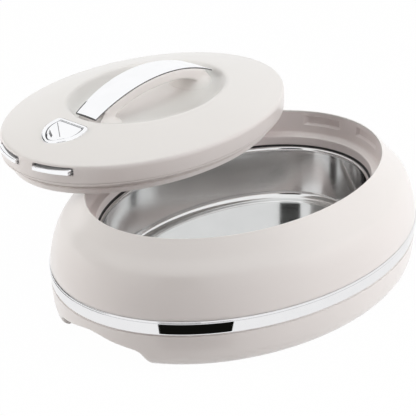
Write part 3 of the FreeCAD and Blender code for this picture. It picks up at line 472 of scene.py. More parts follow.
def moulded_plastic(name, base, roughness=0.3, coat=0.35):
    """Glossy injection-moulded plastic: a trace of flow marks and a very fine skin."""
    shade = new_shade(name)
    cloud = shade.noise(14.0, 4.0)
    flow = shade.noise(9.0, 2.0, shade.stretched((1.0, 1.0, 6.0)))
    skin = shade.noise(2600.0, 2.0)
    wave = shade.noise(45.0, 1.0)
    return shade.finish({
        "Base Color": shade.mix_colour(cloud, base, 0.985, 1.015),
        "Roughness": roughness - 0.05 + flow * 0.1,
        "Normal": shade.bump(skin * 0.25 + wave, 0.12, 0.00012),
        "IOR": 1.47, "Coat Weight": coat, "Coat Roughness": 0.12})


def polished_steel(name, base):
    """Deep-drawn steel polished to a mirror: faint lines round the wall and small smears."""
    shade = new_shade(name)
    rings = shade.noise(1.0, 3.0, shade.stretched((14.0, 14.0, 1500.0)))
    smear = shade.noise(38.0, 5.0)
    return shade.finish({
        "Base Color": shade.mix_colour(smear, base, 0.94, 1.04),
        "Metallic": 1.0, "Roughness": 0.05 + rings * 0.09 + smear * 0.05,
        "Normal": shade.bump(rings, 0.05, 0.00006)})


def chrome_plate(name, base):
    """Bright chrome plating with the slight unevenness of the plastic below."""
    shade = new_shade(name)
    smear = shade.noise(60.0, 4.0)
    peel = shade.noise(240.0, 1.0)
    return shade.finish({
        "Base Color": shade.mix_colour(smear, base, 0.97, 1.03),
        "Metallic": 1.0, "Roughness": 0.025 + smear * 0.05,
        "Normal": shade.bump(peel, 0.05, 0.00005)})


def soft_rubber(name, base, roughness):
    """Matt elastomer with a dusty bloom."""
    shade = new_shade(name)
    bloom = shade.noise(120.0, 5.0)
    grain = shade.noise(1800.0, 2.0)
    return shade.finish({
        "Base Color": shade.mix_colour(bloom, base, 0.8, 1.25),
        "Roughness": roughness + bloom * 0.15,
        "Normal": shade.bump(grain, 0.3, 0.0002)})


def rigid_foam(name, base):
    """Poured foam: fine open cells."""
    shade = new_shade(name)
    cells = shade.node("ShaderNodeTexVoronoi", None, {"Vector": shade.place(), "Scale": 900.0})
    tone = shade.noise(30.0, 5.0)
    return shade.finish({
        "Base Color": shade.mix_colour(tone, base, 0.9, 1.1),
        "Roughness": 0.85 + tone * 0.1,
        "Normal": shade.bump(cells, 0.6, 0.0006)})


def plain_metal(name, base):
    """Zinc-plated steel with drawn lines."""
    shade = new_shade(name)
    lines = shade.noise(1.0, 3.0, shade.stretched((900.0, 900.0, 60.0)))
    return shade.finish({
        "Base Color": shade.mix_colour(lines, base, 0.9, 1.1),
        "Metallic": 1.0, "Roughness": 0.25 + lines * 0.2,
        "Normal": shade.bump(lines, 0.15, 0.0001)})


def finishes():
    """The materials by name, made once."""
    if "shell plastic" not in bpy.data.materials:
        tones = bpy.context.scene.casserole_colours
        moulded_plastic("shell plastic", tones.shell)
        moulded_plastic("collar plastic", tones.collar, 0.34, 0.2)
        moulded_plastic("acetal", tones.acetal, 0.45, 0.0)
        polished_steel("polished steel", tones.steel)
        chrome_plate("chrome plate", tones.chrome)
        chrome_plate("band plate", tones.band)
        # Dark chrome for painted shade lines
        chrome_plate("painted edge shade", tones.painted_edge_shade)
        soft_rubber("rubber_and_painted_shade", tones.rubber_and_painted_shade, 0.6)
        soft_rubber("silicone", tones.silicone, 0.4)
        rigid_foam("foam", tones.foam)
        plain_metal("zinc", tones.zinc)
    return bpy.data.materials


# ---------------------------------------------------------------- the base

# Outer skin above the belly: share of the belly's drop, share of its swell
SHOULDER = ((0, 0.022), (0.07, 0.142), (0.2, 0.36), (0.4, 0.705), (0.63, 0.89), (0.85, 0.98),
            (1, 1))
# Outer skin below the belly: share of the way down to the table, share of the swell
SKIRT = ((0, 1), (0.2, 0.995), (0.52, 0.97), (0.7, 0.94), (0.82, 0.89), (0.91, 0.815),
         (0.97, 0.73), (1, 0.65))
# Finger arch from its middle to its foot: place along it, share of half its width, of its height
ARCH = ((0, 0, 1), (0.2, 0.2, 0.94), (0.4, 0.46, 0.81), (0.58, 0.7, 0.72), (0.7, 0.86, 0.645),
        (0.78, 0.94, 0.53), (0.88, 0.985, 0.28), (1, 1, 0))
# The bottom shell: columns at an arch and between the arches, rows down its skin and round its lip
ARCH_COLUMNS, PLAIN_COLUMNS = 95, 120
SKIN_ROWS, LIP_ROWS = 34, 9
# The bottom shell from its lip to an arch's back: share of the run in, share of the drop; then
# shares of the floor on to its middle
FLOOR_STEPS = ((0.5, 0), (0.97, 0), (1, 0.04), (1, 0.5), (1, 1))
FLOOR_SHARES = (0.85, 0.6, 0.3, 0.08)
# Where the collar's wall stands: just inside the mouth, so that the casing's crown covers it
WALL_OUT = -0.05 * MM
COLLAR_COLUMNS = 720


def skin_outset(height, size):
    """How far the outer skin stands out past the mouth at a height: a steady curve through the
    points of the skirt and the shoulder."""
    belly = size.rim_height - size.belly_drop
    below = [(size.foot_gap + (belly - size.foot_gap) * (1 - share), swell)
             for share, swell in SKIRT[::-1]]
    above = [(size.rim_height - size.belly_drop * share, swell)
             for share, swell in SHOULDER[-2::-1]]
    known, swells = zip(*below, *above)
    return steady_curve(height, known, np.array(swells) * size.belly_swell)


def casing_mesh(size):
    """The upper shell: from its joint up a seat for the band, up the outer skin, over a round
    crown, down behind the collar, and back down one skin's thickness inside the outer skin."""
    seat_top = BAND_HIGH.z + 0.1 * MM
    seat = size.belly_swell - 1.0 * MM
    skin_foot = seat_top + 0.5 * MM
    crown = 0.55 * MM
    rim = size.rim_height
    behind_collar = size.collar_wall + 0.2 * MM
    heights = skin_foot + (rim - 0.5 * crown - skin_foot) * np.linspace(0, 1, 60) ** 0.8
    outer = np.stack([skin_outset(heights, size), heights], 1)
    inner_top = rim - 9 * MM
    heights = np.linspace(inner_top, JOINT, 24)
    inner = np.stack([skin_outset(heights, size) - size.skin, heights], 1)
    outline = profile(
        (seat - size.skin * 0.6, JOINT), (seat, JOINT), (seat, seat_top),
        (size.belly_swell - 0.35 * MM, seat_top), outer,
        arc(WALL_OUT + crown, rim - crown, crown, 55, 180, 12),
        (WALL_OUT, rim - 1.6 * MM), (1.5 * MM, rim - 1.8 * MM),
        (behind_collar, rim - 5 * MM), (behind_collar, rim - 8 * MM), inner)
    return grid_mesh("casing_shell", mouth_grid(size, outline), "joined")


def arch_outline(turn, size, grow):
    """Half width and height of the finger arch at a turn from 0 to pi: two steep flanks, two
    shoulders and a gentle rise to the middle, as smooth curves through the arch's points."""
    share = np.abs(1 - turn / (math.pi / 2))
    places, wides, highs = zip(*ARCH)
    wide = steady_curve(share, places, wides) * (size.arch_half + grow)
    high = steady_curve(share, places, highs) * (size.arch_height + grow)
    return wide * np.sign(math.pi / 2 - turn) + size.arch_shift, size.foot_gap + high


def bottom_rows(size, inset):
    """Rows of the bottom shell from its joint down to the middle of its floor.  Each column runs
    down the skin, rounds the edge, runs in level (through an arch where it meets one), down the
    arch's back and in to the middle.  An arch's columns follow its outline: their place across
    is the arch's, and x is where the oval at their height has that place."""
    seat_foot = BAND_LOW.z - size.band_groove
    seat = size.belly_swell - 1.0 * MM - inset * 0.6
    half_long, half_wide = size.mouth_length / 2, size.mouth_width / 2
    floor = size.foot_gap + inset
    lip = max(size.arch_lip - inset, 0.4 * MM)
    grow = lip + inset
    base_out = skin_outset(size.foot_gap, size) - inset
    first, second = (math.asin((size.arch_half + grow + shift) / (half_wide + base_out))
                     for shift in (-size.arch_shift, size.arch_shift))
    turn = np.linspace(0, math.pi, ARCH_COLUMNS + 2)[1:-1]
    wide, high = arch_outline(turn, size, grow)
    arch_angle = -np.arcsin(np.clip(wide / (half_wide + skin_outset(high, size) - inset), -1, 1))
    plain = np.linspace(first, math.pi - second, PLAIN_COLUMNS)
    angle = np.concatenate([arch_angle, plain, arch_angle + math.pi, plain + math.pi])
    is_arch = np.tile(np.repeat([True, False], (ARCH_COLUMNS, PLAIN_COLUMNS)), 2)
    turn = np.tile(np.concatenate([turn, np.zeros(PLAIN_COLUMNS)]), 2)
    end = np.sign(np.cos(angle))
    rows = []

    def skin_row(height, outset):
        """Adds a row of the outer skin."""
        rows.append(np.stack(np.broadcast_arrays((half_long + outset) * np.cos(angle),
                                                 (half_wide + outset) * np.sin(angle), height), 1))

    skin_row(JOINT, seat)
    skin_row(seat_foot, seat)
    skin_row(seat_foot - 0.05 * MM, skin_outset(seat_foot, size) - inset)
    edge_high = np.where(is_arch, arch_outline(turn, size, grow)[1], size.foot_gap)
    for share in np.linspace(0, 1, SKIN_ROWS)[1:]:
        height = (seat_foot - 0.3 * MM) * (1 - share) + edge_high * share
        skin_row(np.where(is_arch, height, np.maximum(height, floor)),
                 skin_outset(height, size) - inset)
    for bend in np.radians(np.linspace(0, 90, LIP_ROWS)[1:]):
        wide, high = arch_outline(turn, size, inset + lip * (1 - math.sin(bend)))
        run_in = lip * (1 - math.cos(bend))
        out = skin_outset(high, size) - inset
        y = -end * wide
        x = end * ((half_long + out) * np.sqrt(np.clip(1 - (y / (half_wide + out)) ** 2, 0, 1))
                   - run_in)
        inward = base_out - run_in * 0.6
        rows.append(np.stack([np.where(is_arch, x, (half_long + inward) * np.cos(angle)),
                              np.where(is_arch, y, (half_wide + inward) * np.sin(angle)),
                              np.where(is_arch, np.maximum(high, floor), floor)], 1))
    edge = rows[-1]
    back = end * np.minimum(size.arch_depth - inset, np.abs(edge[:, 0]) - 0.5 * MM)
    arch_back = np.stack([back, edge[:, 1], edge[:, 2]], 1)
    near_middle = np.where(is_arch[:, None], arch_back, edge * np.array([0.86, 0.86, 1]))
    for share, sink in FLOOR_STEPS:
        level = edge * (1 - share) + near_middle * share
        level[:, 2] = level[:, 2] * (1 - sink) + floor * sink
        rows.append(level)
    rows += [level * np.array([share, share, 1]) for share in FLOOR_SHARES]
    return np.stack(rows, 1)


def bottom_mesh(size):
    """The lower shell: its outside, then its inside, one skin thickness away."""
    outside = bottom_rows(size, 0.0)
    inside = bottom_rows(size, size.skin)
    points = np.concatenate([inside[:, ::-1], outside], 1)
    return grid_mesh("bottom_shell_moulding", points[::-1], "capped")


def band_mesh(size):
    """The chrome band: a face that leans in towards a round foot and bulges with the square of
    the way from its middle, and a fine bead along its upper edge."""
    low, high = BAND_LOW.z, BAND_HIGH.z
    out = size.belly_swell + 0.8 * MM
    back = size.belly_swell - 0.85 * MM
    lean, bulge, bead, foot_round = 0.8 * MM, 0.25 * MM, 1.0 * MM, 0.8 * MM
    foot = out - lean
    heights = np.linspace(low + foot_round, high - 2.6 * bead, 14)
    share = (heights - low) / (high - low)
    face = np.stack([out - lean * (1 - share) - bulge * (2 * share - 1) ** 2, heights], 1)
    outline = profile(
        (back, low), (foot - 1.1 * MM, low),
        arc(foot - 1.05 * MM, low + foot_round, foot_round, -80, -10, 6),
        face, (out - 0.75 * MM, high - 2.3 * bead),
        arc(out - bead, high - 1.15 * bead, bead, -60, 80, 12), (back, high))
    return grid_mesh("belly_band", mouth_grid(size, outline), "joined")


def pocket_push(points, size):
    """How far each point of the collar's wall is pushed out by a latch pocket: full depth inside
    a window, falling to nothing over a sloping margin."""
    margin_across, margin_up = 2.2 * MM, 1.76 * MM
    middle = size.rim_height - size.pocket_drop - size.pocket_height / 2
    across = size.pocket_width / 2 - np.abs(np.abs(points[..., 1]) - size.pocket_offset)
    up = size.pocket_height / 2 - np.abs(points[..., 2] - middle)
    at_end = np.abs(points[..., 0]) > size.mouth_length / 4
    inside = np.minimum(across / margin_across, up / margin_up)
    return np.clip(inside, 0, 1) * at_end * size.pocket_depth


def collar_mesh(size):
    """The ring that the lid drops into: an upright wall with four latch pockets, a round inner
    corner, a ledge with a round edge, and a skirt down to its foot.  Its outer top corner slants
    in, so that it stays inside the casing's skin."""
    top = size.rim_height - 1.7 * MM
    ledge = size.rim_height - size.ledge_drop
    ledge_low = ledge - 2.4 * MM
    foot = COLLAR_LOW.z
    wall = size.collar_wall
    inset = size.ledge_inset
    edge = 1.1 * MM
    foot_edge = edge * 0.6
    wall_heights = np.linspace(top, ledge + 2.2 * edge, 64)
    outline = profile(
        (wall, ledge_low), (wall, top - 3.5 * MM), (1.3 * MM, top), (0.2 * MM, top),
        np.stack([np.full_like(wall_heights, WALL_OUT), wall_heights], 1),
        arc(-2 * edge, ledge + 2 * edge, 2 * edge, 0, -90, 8),
        arc(-inset + edge, ledge - edge, edge, 90, 180, 7),
        np.linspace((-inset, ledge - 1.5 * edge), (-inset, foot + foot_edge), 6),
        arc(-inset + foot_edge, foot + foot_edge, foot_edge, 180, 270, 5),
        (wall - inset, foot), (wall - inset, ledge_low))[::-1]
    points = mouth_grid(size, outline, columns=COLLAR_COLUMNS)
    push = pocket_push(points, size) * np.isclose(outline[:, 0], WALL_OUT, 0, 1e-7)
    direction = points[..., :2] / np.linalg.norm(points[..., :2], axis=2, keepdims=True)
    points[..., :2] += direction * push[..., None]
    return grid_mesh("collar_ring", points[:, ::-1], "joined")


def pot_mesh(size):
    """The steel pot, from the middle of its underside: the outside of the sheet, a flange that
    rests on the ledge, a rolled rim, the wall, a round corner, and a raised bead round a flat
    floor."""
    sheet = 0.9 * MM
    rim_out = -size.pot_inset + 2.1 * MM
    rim_up = POT_HIGH.z - size.bead
    floor = POT_LOW.z + sheet
    top_wall = -size.pot_inset
    low_wall = top_wall - size.pot_taper
    corner = size.pot_corner
    corner_out, corner_up = low_wall - corner, floor + corner
    bead_out = corner_out - 2.6 * MM
    floor_out = bead_out - 3.0 * MM
    flange_out = size.collar_wall - size.ledge_inset
    flange_top = POT_HIGH.z - 0.6 * MM
    rolled = arc(rim_out, rim_up, size.bead, -60, 183, 26)
    ring = profile(
        (floor_out - 1.0 * MM, floor - sheet), (corner_out, floor - sheet),
        arc(corner_out, corner_up, corner + sheet, -90, 0, 10),
        (top_wall + sheet, rim_up - 3.2 * MM), (rim_out, rim_up - size.bead),
        (flange_out, flange_top - sheet), (flange_out, flange_top),
        (rim_out + size.bead * 0.94, flange_top),
        rolled[rolled[:, 1] > flange_top - 0.2 * MM], (top_wall, rim_up - 0.7 * MM),
        np.linspace((top_wall, rim_up - 1.5 * MM), (low_wall, corner_up), 22),
        arc(corner_out, corner_up, corner, 0, -82, 14),
        arc(bead_out, floor - 0.4 * MM, 1.5 * MM, 20, 160, 11),
        (floor_out, floor), (floor_out - 1.0 * MM, floor))
    return closed_form("polished_pot", size, ring, np.linspace(0.85, 0.05, 6))


# ---------------------------------------------------------------- the lid

# Wall of the hand well: share of its slope inwards, share of its depth
WELL_WALL = ((-0.22, 0), (-0.1, 0), (0, 0.07), (0.07, 0.22), (0.15, 0.42), (0.27, 0.63),
             (0.42, 0.79), (0.67, 0.94), (1, 1), (1.3, 1.02))
# How much of the well's shift a ring takes: share of the widest ring, share of the shift
WELL_DRIFT = ((0, 1), (0.6, 1), (0.75, 0.6), (0.9, 0.1), (1, 0))
# Columns of a handle foot, points round the button's outline
FOOT_COLUMNS, SHIELD_POINTS = 72, 240
# How much the button's finger facet falls beyond its crease
FACET_FALL = 0.1
# Crease and ribs on the button: two ends each, from the middle of its straight edge
BUTTON_LINES = (((-5.4, 12.2), (-20.6, -5.4)), ((-16.6, 10.9), (-22.3, 2.3)),
                ((-18.4, 9.6), (-23.4, 1.8)), ((-20.3, 8.0), (-24.4, 1.4)))


def lid_place():
    """Where the lid's edge plane has its centre."""
    lid = bpy.context.scene.casserole_lid
    return Vector(((COVER_LOW.x + COVER_HIGH.x) / 2, (COVER_LOW.y + COVER_HIGH.y) / 2,
                   COVER_LOW.z + lid.side))


def place_on_lid(mesh):
    """Turns and moves a mesh that was worked out about the lid's centre to where the lid rests."""
    turn = Matrix.Rotation(bpy.context.scene.casserole_lid.turn, 4, "Z")
    mesh.transform(Matrix.Translation(lid_place()) @ turn)
    return mesh


def dome_height(share, lid):
    """Height of the dome at a share of its radius: the rise less its square share."""
    return lid.rise * (1 - share ** 2)


def cover_rings(lid, size):
    """Rings of the cover's outer form: half length, half width and height of each.  From the
    foot they run up the upright side, round the edge along a quarter oval up to the dome's own
    slope, over the dome as dome_height says, and down the well by a steady curve of the way in
    from its edge."""
    half_long, half_wide = size.mouth_length / 2 - lid.gap, size.mouth_width / 2 - lid.gap
    dome_long, dome_wide = half_long - lid.edge_in, half_wide - lid.edge_in
    foot_round = 0.7 * MM
    edge_end, dome_start, well_margin, well_start = 76, 0.985, 0.045, -0.12

    def rings(long, wide, height):
        """Rings of some half lengths, half widths and heights."""
        return np.stack(np.broadcast_arrays(long, wide, height), 1)

    foot = rings([half_long - foot_round], half_wide - foot_round, -lid.side)
    side = rings(half_long, half_wide, np.linspace(-lid.side + foot_round, -lid.edge_down, 28))
    bend = np.radians(np.linspace(0, edge_end, 12)[1:])
    inward = lid.edge_in * (1 - np.cos(bend))
    edge = rings(half_long - inward, half_wide - inward, -lid.edge_down * (1 - np.sin(bend)))
    well_share = lid.well_length / 2 / dome_long
    share = np.linspace(dome_start, well_share + well_margin, 40)
    dome = rings(dome_long * share, dome_wide * share, dome_height(share, lid))
    well_long, well_wide = dome_long * well_share, dome_wide * well_share
    known, sunk = np.array(WELL_WALL).T
    inset = np.linspace(well_start, known[-1], 46)
    depth = steady_curve(inset, known, sunk) * lid.well_depth
    inset *= lid.well_slope
    height = dome_height((well_long - np.minimum(inset, 0)) / dome_long, lid) - depth
    return np.concatenate([foot, side, edge, dome,
                           rings(well_long - inset, well_wide - inset, height)])


def ring_grid(rings, shift):
    """Level ovals of the given half lengths, half widths and heights, stacked as a grid; the
    smaller ones move along X by up to the shift."""
    u = np.arange(COLUMNS) / COLUMNS * FULL_TURN
    long, wide, height = rings.T
    moved = shift * steady_curve(long / long.max(), *zip(*WELL_DRIFT))
    return np.stack([np.outer(np.cos(u), long) + moved, np.outer(np.sin(u), wide),
                     np.broadcast_to(height, (COLUMNS, len(rings)))], 2)


def cover_mesh(lid, size):
    """The domed cover: outer form and inner form, cut for the latch slots and the button."""
    rings = cover_rings(lid, size)
    inner = rings.copy()
    inner[:, :2] -= lid.wall
    inner[:, 2] -= lid.wall * np.clip((inner[:, 2] + lid.edge_down) / lid.edge_down + 0.2, 0, 1)
    inner[0, 2] = inner[1, 2] = -lid.side
    inwards = np.array([[0.6, 0.6, 1], [0.25, 0.25, 1]])
    outside = np.concatenate([rings, rings[-1] * inwards])
    inside = np.concatenate([inner, inner[-1] * inwards])[::-1]
    points = ring_grid(np.concatenate([inside, outside]), lid.well_shift)
    slot_up = (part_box("front_latch")[0].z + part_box("rear_latch")[1].z) / 2 - lid_place().z
    slot_size, slot_round = (60 * MM, lid.tongue_wide, 7.0 * MM), 1.6 * MM
    cutters = [rounded_block(f"slot_cutter_{end}_{side}",
                             (end * size.mouth_length / 2, side * lid.tongue_offset, slot_up),
                             slot_size, slot_round) for end in (-1, 1) for side in (-1, 1)]
    under_bezel = lid.button_gap + lid.bezel_wide * 0.9
    cutters.append(shield_block("button_cutter", lid, size, under_bezel, -12 * MM, 9 * MM))
    return place_on_lid(carve(grid_mesh("cover_whole", points, "capped"), "lid_dome", cutters))


def liner_mesh(lid, size):
    """The stepped tray below the cover, from the middle of its underside: a lip with a round
    foot and the seal's groove, the step, the flange with its rib, and back down inside."""
    flange = -lid.gap - 0.2 * MM
    lip = -size.ledge_inset - 1.2 * MM
    groove = lip - 0.9 * MM
    foot = LINER_LOW.z - lid_place().z
    seal_low, seal_top = (corner.z - lid_place().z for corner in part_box("lid_seal"))
    edge, corner = 2.2 * MM, 1.2 * MM
    rib_out, rib_in, rib_foot = flange - 2.6 * MM, flange - 4.2 * MM, -13 * MM
    outline = profile(
        (lip - edge - 3 * MM, foot + 0.4 * MM), (lip - edge - 1 * MM, foot),
        arc(lip - edge, foot + edge, edge, -90, 0, 9), (lip, seal_low), (groove, seal_low),
        (groove, seal_top), (lip, seal_top),
        np.linspace((lip, seal_top + 0.4 * MM), (lip, -lid.step - corner), 4),
        arc(lip + corner, -lid.step - corner, corner, 180, 90, 6),
        (flange - 0.4 * MM, -lid.step), (flange, -lid.step + 0.4 * MM), (flange, -lid.side),
        (rib_out, -lid.side), (rib_out, rib_foot), (rib_in, rib_foot), (rib_in, -lid.side),
        (lip - 2 * MM, -lid.side), (lip - 2 * MM, foot + 2 * MM))
    return place_on_lid(closed_form("lid_tray", size, outline, np.array([0.8, 0.5, 0.2, 0.04])))


def back_height(x, lid, sunk):
    """Height of the handle's back, a circle's arc, sunk by a depth."""
    return (lid.grip_top - lid.grip_radius
            + np.sqrt((lid.grip_radius - sunk) ** 2 - np.asarray(x) ** 2))


def grip_half_width(x, lid):
    """Half width of the handle: a shallow arc, widest in the middle."""
    share = (np.asarray(x) / lid.grip_full) ** 2
    return lid.grip_half - (lid.grip_half - lid.grip_end_half) * share


def grip_bar_mesh(lid):
    """The handle's bar, carried along X: its back an arc, its underside at (1 - s^2.3)^0.62 of
    the hand's clearance at a share s of the hand opening, and always a bar's thickness below
    the back."""
    least, thickness, corner = 1 * MM, 5 * MM, 2.4 * MM
    x = lid.grip_reach * np.sin(np.linspace(-math.pi / 2, math.pi / 2, 161))
    high = back_height(x, lid, lid.trim_thick)
    share = np.clip(np.abs(x) / lid.grip_span, 0, 1)
    low = np.maximum(lid.grip_clear * (1 - share ** 2.3) ** 0.62, least)
    low = np.minimum(low, high - thickness)
    section = section_ring(grip_half_width(x, lid), low, high, np.full_like(x, corner), 10)
    return grid_mesh("grip_bar", along_x(x, section))


def grip_foot_points(lid, end):
    """A flared foot: level ovals whose half widths fall with (1 - rise)^2.2 from the dome up,
    wide across the handle, that lean in under the bar's end and stay below its back."""
    neck_across, more_across = 11.6 * MM, 14.9 * MM
    neck_along, more_along = 11.5 * MM, 11.0 * MM
    lean, below_back = 1.5 * MM, 2 * MM
    height = np.linspace(0.5 * MM, 19 * MM, 26)
    rise = (height - height[0]) / (height[-1] - height[0])
    flare = (1 - rise) ** 2.2
    u = np.arange(FOOT_COLUMNS) / FOOT_COLUMNS * FULL_TURN
    x = (end * (lid.foot_reach + lean * rise)
         + np.outer(np.cos(u), neck_along + more_along * flare))
    y = np.outer(np.sin(u), neck_across + more_across * flare)
    most = back_height(x, lid, lid.trim_thick + below_back)
    return np.stack([x, y, np.minimum(height, most)], 2)


def handle_mesh(lid):
    """The handle: bar and two feet melted into one moulding with soft inner corners."""
    feet = [grid_mesh(f"grip_foot_{end}", grip_foot_points(lid, end), "capped")
            for end in (-1, 1)]
    melted = modified_mesh(join_meshes("grip_parts", [grip_bar_mesh(lid), *feet]),
                           "grip_moulding",
                           ("REMESH", {"mode": "VOXEL", "voxel_size": 0.9 * MM}),
                           ("SMOOTH", {"factor": 0.5, "iterations": 7}))
    return place_on_lid(melted)


def trim_mesh(lid):
    """The chrome strip on the handle's back: a thin sheet along the arc, crowned by the square
    of the way across, with rolled edges.  Its sides and ends are marked for a dark chrome: painted
    shade along the strip's edges."""
    edge = 0.55 * MM
    x = lid.trim_reach * np.sin(np.linspace(-math.pi / 2, math.pi / 2, 121))
    half = grip_half_width(x, lid) - lid.trim_border
    shoulder = back_height(x, lid, 0) - lid.trim_crown
    foot = back_height(x, lid, lid.trim_thick + edge)
    across = np.linspace(-1, 1, 25)
    top = np.stack([np.outer(half - edge, across),
                    shoulder[:, None] + lid.trim_crown * (1 - across ** 2)], 2)
    roll = np.radians([60, 30, 0])
    right = np.stack([(half - edge)[:, None] + edge * np.cos(roll),
                      (shoulder - edge)[:, None] + edge * np.sin(roll)], 2)
    right_foot = np.stack([half, foot], 1)[:, None]
    mirror = np.array([-1, 1])
    section = np.concatenate([top, right, right_foot, right_foot * mirror,
                              right[:, ::-1] * mirror], 1)[:, ::-1]
    mesh = close_ends(grid_mesh("grip_strip", along_x(x, section)))
    normals = np.abs(vectors_of(mesh.polygons, "normal"))
    # The sides and ends wear the dark chrome: painted shade along the strip's edges
    mark_faces(mesh, (normals[:, 1] > 0.8) | (normals[:, 0] > 0.9))
    return place_on_lid(mesh)


# ---------------------------------------------------------------- the release button

def shield_outline(lid, grow, corner):
    """The button's outline grown or shrunk by a gap: a straight edge at x = 0 and sides of half
    width (1 + swell s (1 - s)) (1 - s^square)^rounding at a share s of the length, so they swell
    a little and close in a round end.  Corners are rounded by averaging over a short stretch; a
    growth moves each point along its normal, a shrink draws it to the middle."""
    swell, square, rounding = 0.55, 2.6, 0.62
    half = lid.button_wide / 2
    s = np.sin(np.linspace(0, math.pi / 2, 160))
    side = half * (1 + swell * s * (1 - s)) * (1 - s ** square) ** rounding
    right = np.stack([-lid.button_long * s, side], 1)
    edge = np.stack([np.zeros(60), np.linspace(-half, half, 60)], 1)
    loop = np.concatenate([edge[:-1], right[:-1], (right * [1, -1])[::-1][:-1]])
    closed = np.vstack([loop, loop[:1]])
    along = np.concatenate([[0], np.cumsum(np.linalg.norm(np.diff(closed, axis=0), axis=1))])
    even = np.linspace(0, along[-1], SHIELD_POINTS + 1)[:-1]
    loop = np.stack([np.interp(even, along, closed[:, k]) for k in (0, 1)], 1)
    reach = max(int(corner / (along[-1] / SHIELD_POINTS)), 1)
    kernel = np.ones(2 * reach + 1) / (2 * reach + 1)
    wrapped = np.vstack([loop[-reach:], loop, loop[:reach]])
    loop = np.stack([np.convolve(wrapped[:, k], kernel, "valid") for k in (0, 1)], 1)
    if grow < 0:
        middle = np.array([-lid.button_long * 0.45, 0])
        return middle + (loop - middle) * (1 + grow / (half * 0.95))
    ahead = np.roll(loop, -1, 0) - np.roll(loop, 1, 0)
    normal = np.stack([ahead[:, 1], -ahead[:, 0]], 1)
    return loop + normal / np.linalg.norm(normal, axis=1, keepdims=True) * grow


def shield_layers(lid, layers):
    """Outlines of the button of a growth, a height and a corner rounding each, as a grid."""
    loops = []
    for grow, height, corner in layers:
        loop = shield_outline(lid, grow, corner)
        loops.append(np.column_stack([loop, np.full(len(loop), height)]))
    return np.stack(loops, 1)


def slope_matrix(lid, size):
    """From the button's own level frame to the dome's slope where the button lies."""
    dome_long = size.mouth_length / 2 - lid.gap - lid.edge_in
    near = dome_height(lid.button_reach / dome_long, lid)
    far = dome_height((lid.button_reach + lid.button_long) / dome_long, lid)
    angle = math.atan((near - far) / lid.button_long)
    return (Matrix.Translation((-lid.button_reach, 0, near))
            @ Matrix.Rotation(-angle, 4, "Y"))


def place_on_dome(mesh, lid, size):
    """Sets a mesh from the button's level frame onto the dome, and with the lid in its place."""
    mesh.transform(slope_matrix(lid, size))
    return place_on_lid(mesh)


def shield_block(name, lid, size, grow, low, high):
    """An upright block of the button's outline, set on the dome's slope of the unplaced lid."""
    corner = 1.6 * MM
    points = shield_layers(lid, ((grow, low, corner), (grow, high, corner)))
    mesh = grid_mesh(name, points, "capped")
    mesh.transform(slope_matrix(lid, size))
    return mesh


def past_crease(x, y):
    """How far points of the button lie past its diagonal crease: the distance from a straight
    line, by its unit normal and a point on it."""
    return 0.653 * (y - 15.3 * MM) - 0.757 * (x + 4.5 * MM)


def button_mesh(lid, size):
    """The release button: a shield with a rounded edge, closed level to its middle, whose finger
    facet falls beyond the crease; its hinge lug and leg stay as plain blocks below."""
    top, inset, corner = 0.7 * MM, -1.6 * MM, 2 * MM
    points = shield_layers(lid, (
        (inset - 1.0 * MM, top - 3 * MM, 1.8 * MM), (inset, top - 2.6 * MM, corner),
        (inset, top - 0.7 * MM, corner), (inset - 0.25 * MM, top - 0.25 * MM, corner),
        (inset - 0.8 * MM, top, corner), (inset - 2.0 * MM, top + 0.05 * MM, 2.2 * MM)))
    last = points[:, -1:]
    middle = np.array([-lid.button_long * 0.38, 0, 0])
    shares = np.array([0.8, 0.6, 0.4, 0.2, 0.05])[:, None]
    inwards = middle + (last - middle) * shares
    inwards[..., 2] = last[..., 2]
    points = np.concatenate([points, inwards], 1)
    upper = points[:, 4:]
    past = past_crease(upper[..., 0], upper[..., 1])
    upper[..., 2] -= np.clip(past, 0, 12 * MM) * FACET_FALL
    plate = grid_mesh("button_plate", points, "capped")
    lug = rounded_block("button_lug", (-27 * MM, 0, -4.0 * MM), (4.0 * MM, 4 * MM, 5.2 * MM),
                        0.8 * MM)
    leg = rounded_block("button_leg", (-7.5 * MM, 0, -5.6 * MM), (3 * MM, 8 * MM, 8.6 * MM),
                        0.8 * MM)
    return place_on_dome(join_meshes("button_shield", [plate, lug, leg]), lid, size)


def button_lines(lid, size):
    """The crease and the ribs of the finger facet: thin closed beads along straight lines, each
    with four corners at both ends, half a bead to each side and up and down.  They wear the dark
    edge finish, painted shade of the crease and ribs."""
    top, half, thick = 0.75 * MM, 0.3 * MM, 0.22 * MM
    side, lift = np.array([[1, 1, -1, -1], [-1, 1, 1, -1]])[:, :, None]
    beads = []
    for number, ends in enumerate(BUTTON_LINES):
        x, y = np.array(ends).T * MM
        across = np.array([y[0] - y[1], x[1] - x[0]])
        across = side * (across / np.linalg.norm(across) * half)
        height = top - np.maximum(past_crease(x, y), 0) * FACET_FALL + lift * thick
        points = np.stack([x + across[:, :1], y + across[:, 1:], height], 2)
        beads.append(close_ends(grid_mesh(f"button_bead_{number}", points)))
    return place_on_dome(join_meshes("button_lines", beads), lid, size)


